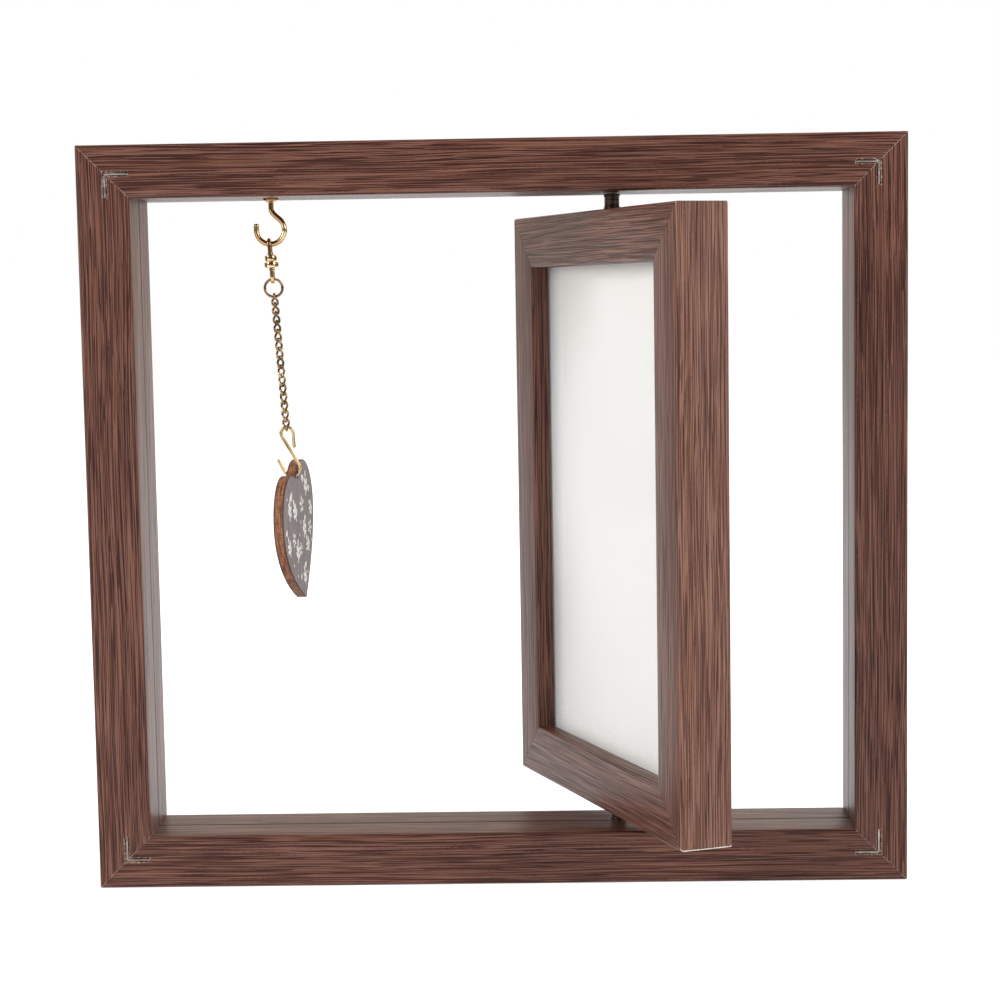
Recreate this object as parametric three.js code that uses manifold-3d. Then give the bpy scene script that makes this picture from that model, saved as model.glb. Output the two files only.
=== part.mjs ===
// A rotating double-sided photo frame. A foil-wrapped outer frame carries an inner frame that turns
// on two upright pins, and a wooden heart charm hangs on a chain from a brass cup hook beside it.
// Millimetres. +Z is up, X runs along the frame's width, and -Y faces the viewer.
// The origin lies on the floor, under the middle of the outer frame.
import * as THREE from 'three';
import { mergeVertices } from 'three/addons/utils/BufferGeometryUtils.js';
import Module from 'manifold-3d';

// The photo pack: two printed cards between two clear sheets
const PRINT_WIDTH = 101.6;
const PRINT_HEIGHT = 152.4;
const CARD_THICKNESS = 0.35;
const GLAZING_THICKNESS = 1.6;
const PACK_GAP = 0.2;
const PACK_CLEARANCE = 0.2;

// The inner frame's rails: width seen from the front, depth, and cover over the print's edge
const INNER_FACE = 15.8;
const INNER_DEPTH = 15.65;
const PRINT_COVER = 3.2;

// The outer frame's rails, and the spaces that they leave around the inner frame
const OUTER_FACE = 15.5;
const OUTER_DEPTH = 29.4;
const PIVOT_GAP = 5.2;
const SIDE_GAP = 5.9;
const BAY_WIDTH = 76.3;
const FOIL_SEAM_WIDTH = 0.8;
const FOIL_SEAM_DEPTH = 0.8;

// Both frames: rounded edges, and the glue line at each mitre
const EDGE_RADIUS = 0.8;
const MITRE_GAP = 0.3;

// Corner nails: bent steel strips driven across the mitres
const NAIL_THICKNESS = 0.7;
const NAIL_CLEARANCE = 0.2;
const OUTER_NAIL_INSET = 8.4;
const OUTER_NAIL_LEG = 6.5;
const OUTER_NAIL_DEPTH = 8;
const INNER_NAIL_INSET = 7.2;
const INNER_NAIL_LEG = 5.5;
const INNER_NAIL_DEPTH = 4.5;

// The pivots, and how far the inner frame is turned out of the outer frame's plane
const PIN_RADIUS = 1.5;
const PIN_BITE = 9;
const PIN_CLEARANCE = 0.2;
const SLEEVE_RADIUS = 2.4;
const SLEEVE_CLEARANCE = 0.3;
const INNER_TURN = 68.85;

// The cup hook: distance of its shank from the left rail, and the sizes of its bent wire
const HOOK_FROM_RAIL = 38.8;
const HOOK_DROP = 9.2;
const HOOK_BITE = 8;
const HOOK_WIRE = 1.6;
const HOOK_CLEARANCE = 0.2;
const BOWL_RADIUS = 4.15;
const BOWL_START = 50;
const SHANK_OFFSET = 0.35;
const SHANK_STRAIGHT = 1.6;
const HOOK_TIP = 1.75;
const COLLAR_RADIUS = 2.33;
const COLLAR_HEIGHT = 1.3;
const COLLAR_RIM = 0.45;

// The charm hangs a little out of plumb, and just left of the bowl's lowest point
const CHARM_LEAN = 3.77;
const SEAT_OFFSET = -0.37;
const HANG_GAP = 0.2;

// The swivel: two strap eyes whose collars turn on one rivet
const STRAP_THICKNESS = 0.8;
const UPPER_STRAP_WIDTH = 1.0;
const LOWER_STRAP_WIDTH = 1.1;
const EYE_RADIUS = 1.1;
const UPPER_EYE_HEIGHT = 4.3;
const LOWER_EYE_HEIGHT = 4.0;
const UPPER_COLLAR_RADIUS = 1.8;
const UPPER_COLLAR_HEIGHT = 1.7;
const LOWER_COLLAR_RADIUS = 2.15;
const LOWER_COLLAR_HEIGHT = 1.6;
const RIVET_RADIUS = 0.6;
const RIVET_HEAD_RADIUS = 0.9;
const RIVET_HEAD_HEIGHT = 0.8;
const SWIVEL_GAP = 0.3;

// The jump ring and the curb chain, whose links are each twisted a quarter turn
const RING_RADIUS = 2.6;
const RING_WIRE = 0.8;
const LINK_COUNT = 15;
const LINK_PITCH = 2.66;
const LINK_WIRE = 0.65;
const LINK_PLAY = 0.175;
const LINK_GAP = 0.15;
const LINK_TWIST = 90;
const CHAIN_TWIST = 90;

// The S-hook: two bends, the straight between them, and two tails
const S_WIRE = 1.0;
const S_UPPER_RADIUS = 1.8;
const S_LOWER_RADIUS = 2.4;
const S_DROP = 10.5;
const S_OFFSET = 0.5;
const S_UPPER_TAIL = 4.5;
const S_LOWER_TAIL = 4.2;
const S_LOWER_END = -157;

// The heart charm, cut from thin board, with its hole beside the notch
const HEART_WIDTH = 44.5;
const HEART_HEIGHT = 40.4;
const HEART_THICKNESS = 3;
const HEART_LOBE_RADIUS = 13.8;
const HEART_FLANK_START = -15;
const HEART_FLANK_FULLNESS = 0.36;
const HEART_HOLE_PLAY = 0.23;
const HEART_HOLE_SIDE = 3.15;
const HEART_HOLE_WALL = 0.6;
const HEART_YAW = 5.1;
const HEART_ROLL = 12.7;
const HEART_LEAN = 1.2;

// Facets on round pieces, and how far a cutter runs past the face that it opens
const EDGE_SEGMENTS = 2;
const ROUND_SEGMENTS = 24;
const STRAP_SEGMENTS = 6;
const HEART_SEGMENTS = 8;
const WIRE_SIDES = 8;
const HOOK_STEPS = 40;
const S_STEPS = 44;
const LINK_STEPS = 20;
const LINK_SIDES = 6;
const CUT_PAST = 1;
const WELD = 1e-4;

// Sizes that follow from the ones above
const degrees = THREE.MathUtils.degToRad;
const innerWidth = PRINT_WIDTH + 2 * (INNER_FACE - PRINT_COVER);
const innerHeight = PRINT_HEIGHT + 2 * (INNER_FACE - PRINT_COVER);
const outerWidth = 2 * OUTER_FACE + BAY_WIDTH + innerWidth + SIDE_GAP;
const outerHeight = 2 * (OUTER_FACE + PIVOT_GAP) + innerHeight;
const packThickness = 2 * (GLAZING_THICKNESS + CARD_THICKNESS) + 3 * PACK_GAP;
const grooveWidth = packThickness + 2 * PACK_CLEARANCE;
const grooveDepth = PRINT_COVER + PACK_CLEARANCE;
const pivotX = outerWidth / 2 - OUTER_FACE - SIDE_GAP - innerWidth / 2;
const railUnderside = outerHeight - OUTER_FACE;
const hookX = -outerWidth / 2 + OUTER_FACE + HOOK_FROM_RAIL;

const wasm = await Module();
wasm.setup();

// Solids that cut and join: only positions count, and pinched-off triangles at a pole are dropped
function toSolid(geometry) {
  const bare = geometry.clone();
  bare.deleteAttribute('normal');
  bare.deleteAttribute('uv');
  const merged = mergeVertices(bare, WELD);
  const corners = Array.from(merged.index.array);
  const kept = [];
  for (let i = 0; i < corners.length; i += 3) {
    const [a, b, c] = corners.slice(i, i + 3);
    if (a !== b && b !== c && c !== a) kept.push(a, b, c);
  }
  return new wasm.Manifold(new wasm.Mesh({
    numProp: 3,
    vertProperties: new Float32Array(merged.attributes.position.array),
    triVerts: new Uint32Array(kept),
  }));
}

function toGeometry(solid) {
  const mesh = solid.getMesh();
  const geometry = new THREE.BufferGeometry();
  geometry.setAttribute('position', new THREE.BufferAttribute(mesh.vertProperties, 3));
  geometry.setIndex(new THREE.BufferAttribute(mesh.triVerts, 1));
  geometry.computeVertexNormals();
  return geometry;
}

function cut(geometry, cutters) {
  let solid = toSolid(geometry);
  for (const cutter of cutters) solid = solid.subtract(toSolid(cutter));
  return toGeometry(solid);
}

function box(x0, x1, y0, y1, z0, z1) {
  const geometry = new THREE.BoxGeometry(x1 - x0, y1 - y0, z1 - z0);
  return geometry.translate((x0 + x1) / 2, (y0 + y1) / 2, (z0 + z1) / 2);
}

// An upright cylinder between two heights
function rod(radius, z0, z1) {
  const geometry = new THREE.CylinderGeometry(radius, radius, z1 - z0, ROUND_SEGMENTS);
  return geometry.rotateX(Math.PI / 2).translate(0, 0, (z0 + z1) / 2);
}

// A profile of [radius, height] points turned about the Z axis
function turned(profile) {
  const points = profile.map(([radius, height]) => new THREE.Vector2(radius, height));
  return new THREE.LatheGeometry(points, ROUND_SEGMENTS).rotateX(Math.PI / 2);
}

// An upright ring with a square section
function collar(bore, radius, z0, z1) {
  return turned([[bore, z0], [radius, z0], [radius, z1], [bore, z1], [bore, z0]]);
}

// Round wire of even thickness along an open path
function wire(path, diameter, steps) {
  const section = [];
  for (let i = 0; i < WIRE_SIDES; i++) {
    const angle = (2 * Math.PI * i) / WIRE_SIDES;
    section.push(new THREE.Vector2(Math.cos(angle), Math.sin(angle)).multiplyScalar(diameter / 2));
  }
  return new THREE.ExtrudeGeometry(new THREE.Shape(section), { steps, extrudePath: path });
}

// Turns a flat shape drawn in (Y, Z) into a plate of even thickness, centred on X = 0
function plate(shape, thickness, curveSegments) {
  const geometry = new THREE.ExtrudeGeometry(shape, { depth: thickness, bevelEnabled: false, curveSegments });
  geometry.translate(0, 0, -thickness / 2);
  const axes = [new THREE.Vector3(0, 1, 0), new THREE.Vector3(0, 0, 1), new THREE.Vector3(1, 0, 0)];
  return geometry.applyMatrix4(new THREE.Matrix4().makeBasis(...axes));
}

const finishes = {
  walnutFoil: { color: '#5e4239', roughness: 0.55, metalness: 0 },
  zincSteel: { color: '#b4b2b0', roughness: 0.4, metalness: 1 },
  bronzeSteel: { color: '#4a3527', roughness: 0.4, metalness: 0.8 },
  clearAcrylic: { color: '#eef3f3', roughness: 0.08, metalness: 0 },
  whiteCard: { color: '#f1efec', roughness: 0.8, metalness: 0 },
  brass: { color: '#b98d4a', roughness: 0.25, metalness: 1 },
  antiqueBrass: { color: '#8c6b3f', roughness: 0.35, metalness: 1 },
  paintedBoard: { color: '#6d6464', roughness: 0.7, metalness: 0 },
};

function piece(group, name, geometry, finish) {
  const mesh = new THREE.Mesh(geometry, new THREE.MeshStandardMaterial(finishes[finish]));
  mesh.name = name;
  group.add(mesh);
  return mesh;
}

// Rails of both frames

// One rail lies along X with its outer face at Z = 0 and its inner face at Z = face. A notch runs
// along the middle of its inner face, and both ends are cut back at 45 degrees.
function mitredRail(length, face, depth, notchWidth, notchDepth) {
  const half = depth / 2;
  const edge = EDGE_RADIUS;
  const section = new THREE.Shape();
  section.moveTo(edge, -half);
  section.lineTo(face - edge, -half);
  section.absarc(face - edge, edge - half, edge, -Math.PI / 2, 0);
  section.lineTo(face, -notchWidth / 2);
  section.lineTo(face - notchDepth, -notchWidth / 2);
  section.lineTo(face - notchDepth, notchWidth / 2);
  section.lineTo(face, notchWidth / 2);
  section.lineTo(face, half - edge);
  section.absarc(face - edge, half - edge, edge, 0, Math.PI / 2);
  section.lineTo(edge, half);
  section.absarc(edge, half - edge, edge, Math.PI / 2, Math.PI);
  section.lineTo(0, edge - half);
  section.absarc(edge, edge - half, edge, Math.PI, 1.5 * Math.PI);
  const geometry = new THREE.ExtrudeGeometry(section, {
    depth: length,
    bevelEnabled: false,
    curveSegments: EDGE_SEGMENTS,
  });
  geometry.translate(0, 0, -length / 2);
  const axes = [new THREE.Vector3(0, 0, 1), new THREE.Vector3(0, 1, 0), new THREE.Vector3(-1, 0, 0)];
  geometry.applyMatrix4(new THREE.Matrix4().makeBasis(...axes));
  const glueLine = MITRE_GAP / Math.SQRT2;
  const points = geometry.attributes.position;
  for (let i = 0; i < points.count; i++) {
    const x = points.getX(i);
    points.setX(i, x - Math.sign(x) * (points.getZ(i) + glueLine));
  }
  return geometry;
}

// The slots for the corner nails at both ends of a rail. The nails enter from the face on the side
// of Y that faceSide gives.
function nailSlots(length, depth, inset, leg, nailDepth, faceSide) {
  const wall = NAIL_THICKNESS / 2 + NAIL_CLEARANCE;
  const deep = faceSide * (depth / 2 - nailDepth - NAIL_CLEARANCE);
  const open = faceSide * (depth / 2 + NAIL_CLEARANCE);
  const start = inset - 2 * wall - length / 2;
  const end = inset + leg + NAIL_CLEARANCE - length / 2;
  const [y0, y1] = [Math.min(deep, open), Math.max(deep, open)];
  return [
    box(start, end, y0, y1, inset - wall, inset + wall),
    box(-end, -start, y0, y1, inset - wall, inset + wall),
  ];
}

// A corner nail: an L of steel strip whose bend lies on the mitre, at equal distances from both edges
function cornerNail(length, depth, inset, leg, nailDepth, faceSide) {
  const half = NAIL_THICKNESS / 2;
  const strip = new THREE.Shape();
  strip.moveTo(-half, -half);
  strip.lineTo(leg, -half);
  strip.lineTo(leg, half);
  strip.lineTo(half, half);
  strip.lineTo(half, leg);
  strip.lineTo(-half, leg);
  const geometry = new THREE.ExtrudeGeometry(strip, { depth: nailDepth, bevelEnabled: false });
  geometry.rotateX(Math.PI / 2);
  const front = faceSide < 0 ? nailDepth - depth / 2 : depth / 2;
  return geometry.translate(inset - length / 2, front, inset);
}

// The four sides of a frame that is centred on its group, each turned about Y into place
function frameSides(width, height) {
  return [
    { side: 'bottom', corner: 'bottom_left', length: width, turn: 0, at: [0, 0, -height / 2] },
    { side: 'right', corner: 'bottom_right', length: height, turn: -Math.PI / 2, at: [width / 2, 0, 0] },
    { side: 'top', corner: 'top_right', length: width, turn: Math.PI, at: [0, 0, height / 2] },
    { side: 'left', corner: 'top_left', length: height, turn: Math.PI / 2, at: [-width / 2, 0, 0] },
  ];
}

const photoFrame = new THREE.Group();

// Outer frame: four rails with a fine foil seam inside, nailed at the corners from the front
const outerFrame = new THREE.Group();
outerFrame.position.z = outerHeight / 2;
photoFrame.add(outerFrame);

const blindPin = rod(
  PIN_RADIUS + PIN_CLEARANCE,
  OUTER_FACE - PIN_BITE - PIN_CLEARANCE,
  OUTER_FACE + CUT_PAST,
);
const outerHoles = {
  bottom: [blindPin.clone().translate(pivotX, 0, 0)],
  top: [
    blindPin.clone().translate(-pivotX, 0, 0),
    rod(HOOK_WIRE / 2 + HOOK_CLEARANCE, OUTER_FACE - HOOK_BITE - HOOK_CLEARANCE, OUTER_FACE + CUT_PAST)
      .translate(-hookX - SHANK_OFFSET, 0, 0),
  ],
};
for (const { side, corner, length, turn, at } of frameSides(outerWidth, outerHeight)) {
  const nail = [length, OUTER_DEPTH, OUTER_NAIL_INSET, OUTER_NAIL_LEG, OUTER_NAIL_DEPTH, -1];
  const blank = mitredRail(length, OUTER_FACE, OUTER_DEPTH, FOIL_SEAM_WIDTH, FOIL_SEAM_DEPTH);
  const rail = cut(blank, [...nailSlots(...nail), ...(outerHoles[side] ?? [])]);
  const pieces = [
    piece(outerFrame, `outer_${side}_rail`, rail, 'walnutFoil'),
    piece(outerFrame, `outer_nail_${corner}`, cornerNail(...nail), 'zincSteel'),
  ];
  for (const mesh of pieces) {
    mesh.rotation.y = turn;
    mesh.position.set(...at);
  }
}

// Pivots: a pin in each of the top and bottom rails, with a sleeve that spaces the frames apart
for (const [end, low] of [['bottom', OUTER_FACE], ['top', railUnderside - PIVOT_GAP]]) {
  const pin = piece(photoFrame, `${end}_pivot_pin`,
    rod(PIN_RADIUS, low - PIN_BITE, low + PIVOT_GAP + PIN_BITE), 'zincSteel');
  pin.position.x = pivotX;
  const sleeve = piece(photoFrame, `${end}_pivot_sleeve`,
    collar(PIN_RADIUS + PIN_CLEARANCE, SLEEVE_RADIUS, low + SLEEVE_CLEARANCE,
      low + PIVOT_GAP - SLEEVE_CLEARANCE), 'bronzeSteel');
  sleeve.position.x = pivotX;
}

// Inner frame: four grooved rails, nailed from the rear. The left rail is slotted right through, so
// that the photo pack slides in and out of that side.
const innerFrame = new THREE.Group();
innerFrame.position.set(pivotX, 0, outerHeight / 2);
innerFrame.rotation.z = -degrees(INNER_TURN);
photoFrame.add(innerFrame);

const slotReach = PRINT_HEIGHT / 2 + PACK_CLEARANCE;
const pivotHole = rod(PIN_RADIUS + PIN_CLEARANCE, -CUT_PAST, PIN_BITE + PIN_CLEARANCE);
const innerHoles = {
  bottom: [pivotHole],
  top: [pivotHole],
  left: [box(-slotReach, slotReach, -grooveWidth / 2, grooveWidth / 2, -CUT_PAST, INNER_FACE + CUT_PAST)],
};
for (const { side, corner, length, turn, at } of frameSides(innerWidth, innerHeight)) {
  const nail = [length, INNER_DEPTH, INNER_NAIL_INSET, INNER_NAIL_LEG, INNER_NAIL_DEPTH, 1];
  const blank = mitredRail(length, INNER_FACE, INNER_DEPTH, grooveWidth, grooveDepth);
  const rail = cut(blank, [...nailSlots(...nail), ...(innerHoles[side] ?? [])]);
  const pieces = [
    piece(innerFrame, `inner_${side}_rail`, rail, 'walnutFoil'),
    piece(innerFrame, `inner_nail_${corner}`, cornerNail(...nail), 'zincSteel'),
  ];
  for (const mesh of pieces) {
    mesh.rotation.y = turn;
    mesh.position.set(...at);
  }
}

// Photo pack: clear sheets outside, printed cards back to back inside
const cardAt = (PACK_GAP + CARD_THICKNESS) / 2;
const glazingAt = cardAt + (CARD_THICKNESS + GLAZING_THICKNESS) / 2 + PACK_GAP;
for (const [face, side] of [['front', -1], ['rear', 1]]) {
  const card = new THREE.BoxGeometry(PRINT_WIDTH, CARD_THICKNESS, PRINT_HEIGHT);
  piece(innerFrame, `${face}_photo_card`, card, 'whiteCard').position.y = side * cardAt;
  const sheet = new THREE.BoxGeometry(PRINT_WIDTH, GLAZING_THICKNESS, PRINT_HEIGHT);
  piece(innerFrame, `${face}_glazing`, sheet, 'clearAcrylic').position.y = side * glazingAt;
}

// Cup hook

// Part of a circle in the XZ plane
class PlanarArc extends THREE.Curve {
  constructor(x, z, radius, start, end) {
    super();
    Object.assign(this, { x, z, radius, start, end });
  }

  getPoint(t, target = new THREE.Vector3()) {
    const angle = degrees(this.start + (this.end - this.start) * t);
    return target.set(this.x + this.radius * Math.cos(angle), 0, this.z + this.radius * Math.sin(angle));
  }
}

const xz = (x, z) => new THREE.Vector3(x, 0, z);

// The hook's group has its origin at the middle of the bowl
const hook = new THREE.Group();
hook.position.set(hookX, 0, railUnderside - HOOK_DROP);
photoFrame.add(hook);

const bowl = new PlanarArc(0, 0, BOWL_RADIUS, BOWL_START, -180);
const bowlTop = bowl.getPoint(0);
const neckReach = BOWL_RADIUS / 3;
const shankEnd = HOOK_DROP - COLLAR_HEIGHT - SHANK_STRAIGHT;
const hookPath = new THREE.CurvePath();
hookPath.add(new THREE.LineCurve3(xz(SHANK_OFFSET, HOOK_DROP + HOOK_BITE), xz(SHANK_OFFSET, shankEnd)));
hookPath.add(new THREE.CubicBezierCurve3(
  xz(SHANK_OFFSET, shankEnd),
  xz(SHANK_OFFSET, shankEnd - neckReach),
  bowlTop.clone().addScaledVector(bowl.getTangent(0), -neckReach),
  bowlTop,
));
hookPath.add(bowl);
hookPath.add(new THREE.LineCurve3(xz(-BOWL_RADIUS, 0), xz(-BOWL_RADIUS, HOOK_TIP)));
piece(hook, 'cup_hook', wire(hookPath, HOOK_WIRE, HOOK_STEPS), 'brass');

const collarBore = HOOK_WIRE / 2 + HOOK_CLEARANCE;
piece(hook, 'hook_collar', turned([
  [collarBore, HOOK_DROP - COLLAR_HEIGHT],
  [(collarBore + COLLAR_RADIUS) / 2, HOOK_DROP - (COLLAR_HEIGHT + COLLAR_RIM) / 2],
  [COLLAR_RADIUS, HOOK_DROP - COLLAR_RIM],
  [COLLAR_RADIUS, HOOK_DROP],
  [collarBore, HOOK_DROP],
  [collarBore, HOOK_DROP - COLLAR_HEIGHT],
]), 'brass').position.x = SHANK_OFFSET;

// Hanging charm: everything below the hook, with its origin inside the bowl's wire at the seat
const charm = new THREE.Group();
charm.position.set(SEAT_OFFSET, 0, -BOWL_RADIUS);
charm.rotation.y = -degrees(CHARM_LEAN);
hook.add(charm);

// A strap eye opens downwards from its crown: round above, with two legs that reach the collar
function strapEye(width, height) {
  const outside = EYE_RADIUS + STRAP_THICKNESS;
  const foot = EYE_RADIUS - height;
  const strap = new THREE.Shape();
  strap.moveTo(-outside, foot);
  strap.lineTo(-outside, 0);
  strap.absarc(0, 0, outside, Math.PI, 0, true);
  strap.lineTo(outside, foot);
  strap.lineTo(EYE_RADIUS, foot);
  strap.lineTo(EYE_RADIUS, 0);
  strap.absarc(0, 0, EYE_RADIUS, 0, Math.PI, false);
  strap.lineTo(-EYE_RADIUS, foot);
  return plate(strap, width, STRAP_SEGMENTS);
}

// A strap eye on its collar, with the eye's crown at Z = 0 inside
function swivelHalf(strapWidth, eyeHeight, collarRadius, collarHeight) {
  const legs = strapEye(strapWidth, eyeHeight + collarHeight / 2).translate(0, 0, -EYE_RADIUS);
  const ring = collar(RIVET_RADIUS + HANG_GAP, collarRadius, -eyeHeight - collarHeight, -eyeHeight);
  return toGeometry(toSolid(legs).add(toSolid(ring)));
}

const upperCrown = HOOK_WIRE / 2 + HANG_GAP;
const upperCollarTop = upperCrown - UPPER_EYE_HEIGHT;
const lowerCollarTop = upperCollarTop - UPPER_COLLAR_HEIGHT - SWIVEL_GAP;
const lowerCollarFoot = lowerCollarTop - LOWER_COLLAR_HEIGHT;
const lowerCrown = lowerCollarFoot - LOWER_EYE_HEIGHT;
piece(charm, 'swivel_upper_eye',
  swivelHalf(UPPER_STRAP_WIDTH, UPPER_EYE_HEIGHT, UPPER_COLLAR_RADIUS, UPPER_COLLAR_HEIGHT),
  'brass').position.z = upperCrown;
const lowerEye = piece(charm, 'swivel_lower_eye',
  swivelHalf(LOWER_STRAP_WIDTH, LOWER_EYE_HEIGHT, LOWER_COLLAR_RADIUS, LOWER_COLLAR_HEIGHT), 'brass');
lowerEye.rotation.x = Math.PI;
lowerEye.position.z = lowerCrown;
piece(charm, 'swivel_rivet', turned([
  [0, lowerCollarFoot - HANG_GAP - RIVET_HEAD_HEIGHT],
  [RIVET_HEAD_RADIUS, lowerCollarFoot - HANG_GAP - RIVET_HEAD_HEIGHT],
  [RIVET_HEAD_RADIUS, lowerCollarFoot - HANG_GAP],
  [RIVET_RADIUS, lowerCollarFoot - HANG_GAP],
  [RIVET_RADIUS, upperCollarTop + HANG_GAP],
  [RIVET_HEAD_RADIUS, upperCollarTop + HANG_GAP],
  [RIVET_HEAD_RADIUS, upperCollarTop + HANG_GAP + RIVET_HEAD_HEIGHT],
  [0, upperCollarTop + HANG_GAP + RIVET_HEAD_HEIGHT],
]), 'brass');

// The jump ring hangs in the lower eye and faces the viewer
const ringCentre = lowerCrown + HANG_GAP + RING_WIRE / 2 - RING_RADIUS;
const ring = new THREE.TorusGeometry(RING_RADIUS, RING_WIRE / 2, WIRE_SIDES, ROUND_SEGMENTS);
piece(charm, 'jump_ring', ring.rotateX(Math.PI / 2), 'antiqueBrass').position.z = ringCentre;

// A chain link: two legs joined by half-round bends, with the lower bend turned against the upper
const linkBend = LINK_WIRE + LINK_PLAY;
const linkLength = LINK_PITCH + LINK_WIRE + LINK_GAP;

class LinkPath extends THREE.Curve {
  getPoint(t, target = new THREE.Vector3()) {
    const leg = linkLength - 2 * linkBend;
    const half = leg + Math.PI * linkBend;
    const around = t % 1;
    const flip = around < 0.5 ? 1 : -1;
    const along = ((2 * around) % 1) * half;
    const angle = Math.max(along - leg, 0) / linkBend;
    const side = flip * linkBend * Math.cos(angle);
    const height = flip * (leg / 2 - Math.min(along, leg) - linkBend * Math.sin(angle));
    const turn = degrees(LINK_TWIST) * THREE.MathUtils.smoothstep(-height, -leg / 2, leg / 2);
    return target.set(side * Math.cos(turn), side * Math.sin(turn), height);
  }
}

const firstLinkTop = ringCentre - RING_RADIUS + (RING_WIRE + LINK_WIRE) / 2 + LINK_GAP;
const lastLinkFoot = firstLinkTop - (LINK_COUNT - 1) * LINK_PITCH - linkLength;
for (let i = 0; i < LINK_COUNT; i++) {
  const tube = new THREE.TubeGeometry(new LinkPath(), LINK_STEPS, LINK_WIRE / 2, LINK_SIDES, true);
  const link = piece(charm, `chain_link_${String(i + 1).padStart(2, '0')}`, tube, 'antiqueBrass');
  link.rotation.z = degrees(90 + (CHAIN_TWIST * i) / (LINK_COUNT - 1));
  link.position.z = firstLinkTop - i * LINK_PITCH - linkLength / 2;
}

// The S-hook: its straight touches the left of the upper bend and the right of the lower bend
const sTop = lastLinkFoot + (LINK_WIRE + S_WIRE) / 2 + LINK_GAP;
const sUpper = xz(0, sTop - S_UPPER_RADIUS);
const sLower = xz(S_OFFSET, sUpper.z - S_DROP);
const between = sLower.clone().sub(sUpper);
const sLean = THREE.MathUtils.radToDeg(Math.atan2(between.z, between.x));
const sTouch = THREE.MathUtils.radToDeg(Math.acos((S_UPPER_RADIUS + S_LOWER_RADIUS) / between.length()));
const upperBend = new PlanarArc(sUpper.x, sUpper.z, S_UPPER_RADIUS, 0, sLean - sTouch + 360);
const lowerBend = new PlanarArc(sLower.x, sLower.z, S_LOWER_RADIUS, sLean - sTouch + 180, S_LOWER_END);
const lowerTailStart = lowerBend.getPoint(1);
const lowerTailEnd = lowerTailStart.clone().addScaledVector(lowerBend.getTangent(1), S_LOWER_TAIL);
const sPath = new THREE.CurvePath();
sPath.add(new THREE.LineCurve3(xz(S_UPPER_RADIUS, sUpper.z - S_UPPER_TAIL), xz(S_UPPER_RADIUS, sUpper.z)));
sPath.add(upperBend);
sPath.add(new THREE.LineCurve3(upperBend.getPoint(1), lowerBend.getPoint(0)));
sPath.add(lowerBend);
sPath.add(new THREE.LineCurve3(lowerTailStart, lowerTailEnd));
piece(charm, 's_hook', wire(sPath, S_WIRE, S_STEPS), 'brass');

// The heart: two round lobes, and full flanks that meet at the tip. It is drawn in (Y, Z) with the
// tops of its lobes at Z = 0, and then hung by its hole.
const lobeAt = HEART_WIDTH / 2 - HEART_LOBE_RADIUS;
const notchAngle = Math.PI - Math.acos(lobeAt / HEART_LOBE_RADIUS);
const flankAngle = degrees(HEART_FLANK_START);
const flankStart = new THREE.Vector2(Math.cos(flankAngle), Math.sin(flankAngle))
  .multiplyScalar(HEART_LOBE_RADIUS).add(new THREE.Vector2(lobeAt, -HEART_LOBE_RADIUS));
const flankReach = HEART_FLANK_FULLNESS * flankStart.distanceTo(new THREE.Vector2(0, -HEART_HEIGHT));
const flankPull = new THREE.Vector2(Math.sin(flankAngle), -Math.cos(flankAngle))
  .multiplyScalar(flankReach).add(flankStart);
const heart = new THREE.Shape();
heart.moveTo(0, -HEART_HEIGHT);
heart.quadraticCurveTo(flankPull.x, flankPull.y, flankStart.x, flankStart.y);
const lobe = [-HEART_LOBE_RADIUS, HEART_LOBE_RADIUS];
heart.absarc(lobeAt, ...lobe, flankAngle, notchAngle, false);
heart.absarc(-lobeAt, ...lobe, Math.PI - notchAngle, Math.PI - flankAngle, false);
heart.quadraticCurveTo(-flankPull.x, flankPull.y, 0, -HEART_HEIGHT);

// The hole clears the S-hook's wire, which rises towards both faces of the board, and hangs on it
const wireRise = S_LOWER_RADIUS - Math.sqrt((S_LOWER_RADIUS - S_WIRE / 2) ** 2 - (HEART_THICKNESS / 2) ** 2);
const holeRadius = (wireRise + S_WIRE / 2) / 2 + HEART_HOLE_PLAY;
const edgeAbove = Math.sqrt(HEART_LOBE_RADIUS ** 2 - (lobeAt - HEART_HOLE_SIDE) ** 2) - HEART_LOBE_RADIUS;
const holeHeight = edgeAbove - HEART_HOLE_WALL - holeRadius;
const hole = new THREE.Path();
hole.absarc(HEART_HOLE_SIDE, holeHeight, holeRadius, 0, 2 * Math.PI, true);
heart.holes.push(hole);
const board = plate(heart, HEART_THICKNESS, HEART_SEGMENTS).translate(0, -HEART_HOLE_SIDE, -holeHeight);
const tag = piece(charm, 'heart_tag', board, 'paintedBoard');
tag.rotation.set(degrees(HEART_ROLL), degrees(CHARM_LEAN - HEART_LEAN), -degrees(HEART_YAW), 'YZX');
tag.position.set(sLower.x, 0, sLower.z - S_LOWER_RADIUS + wireRise + LINK_GAP - holeRadius);

export default photoFrame;
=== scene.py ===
import math

import bmesh
import bpy
import numpy as np
from mathutils import Matrix, Vector


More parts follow.
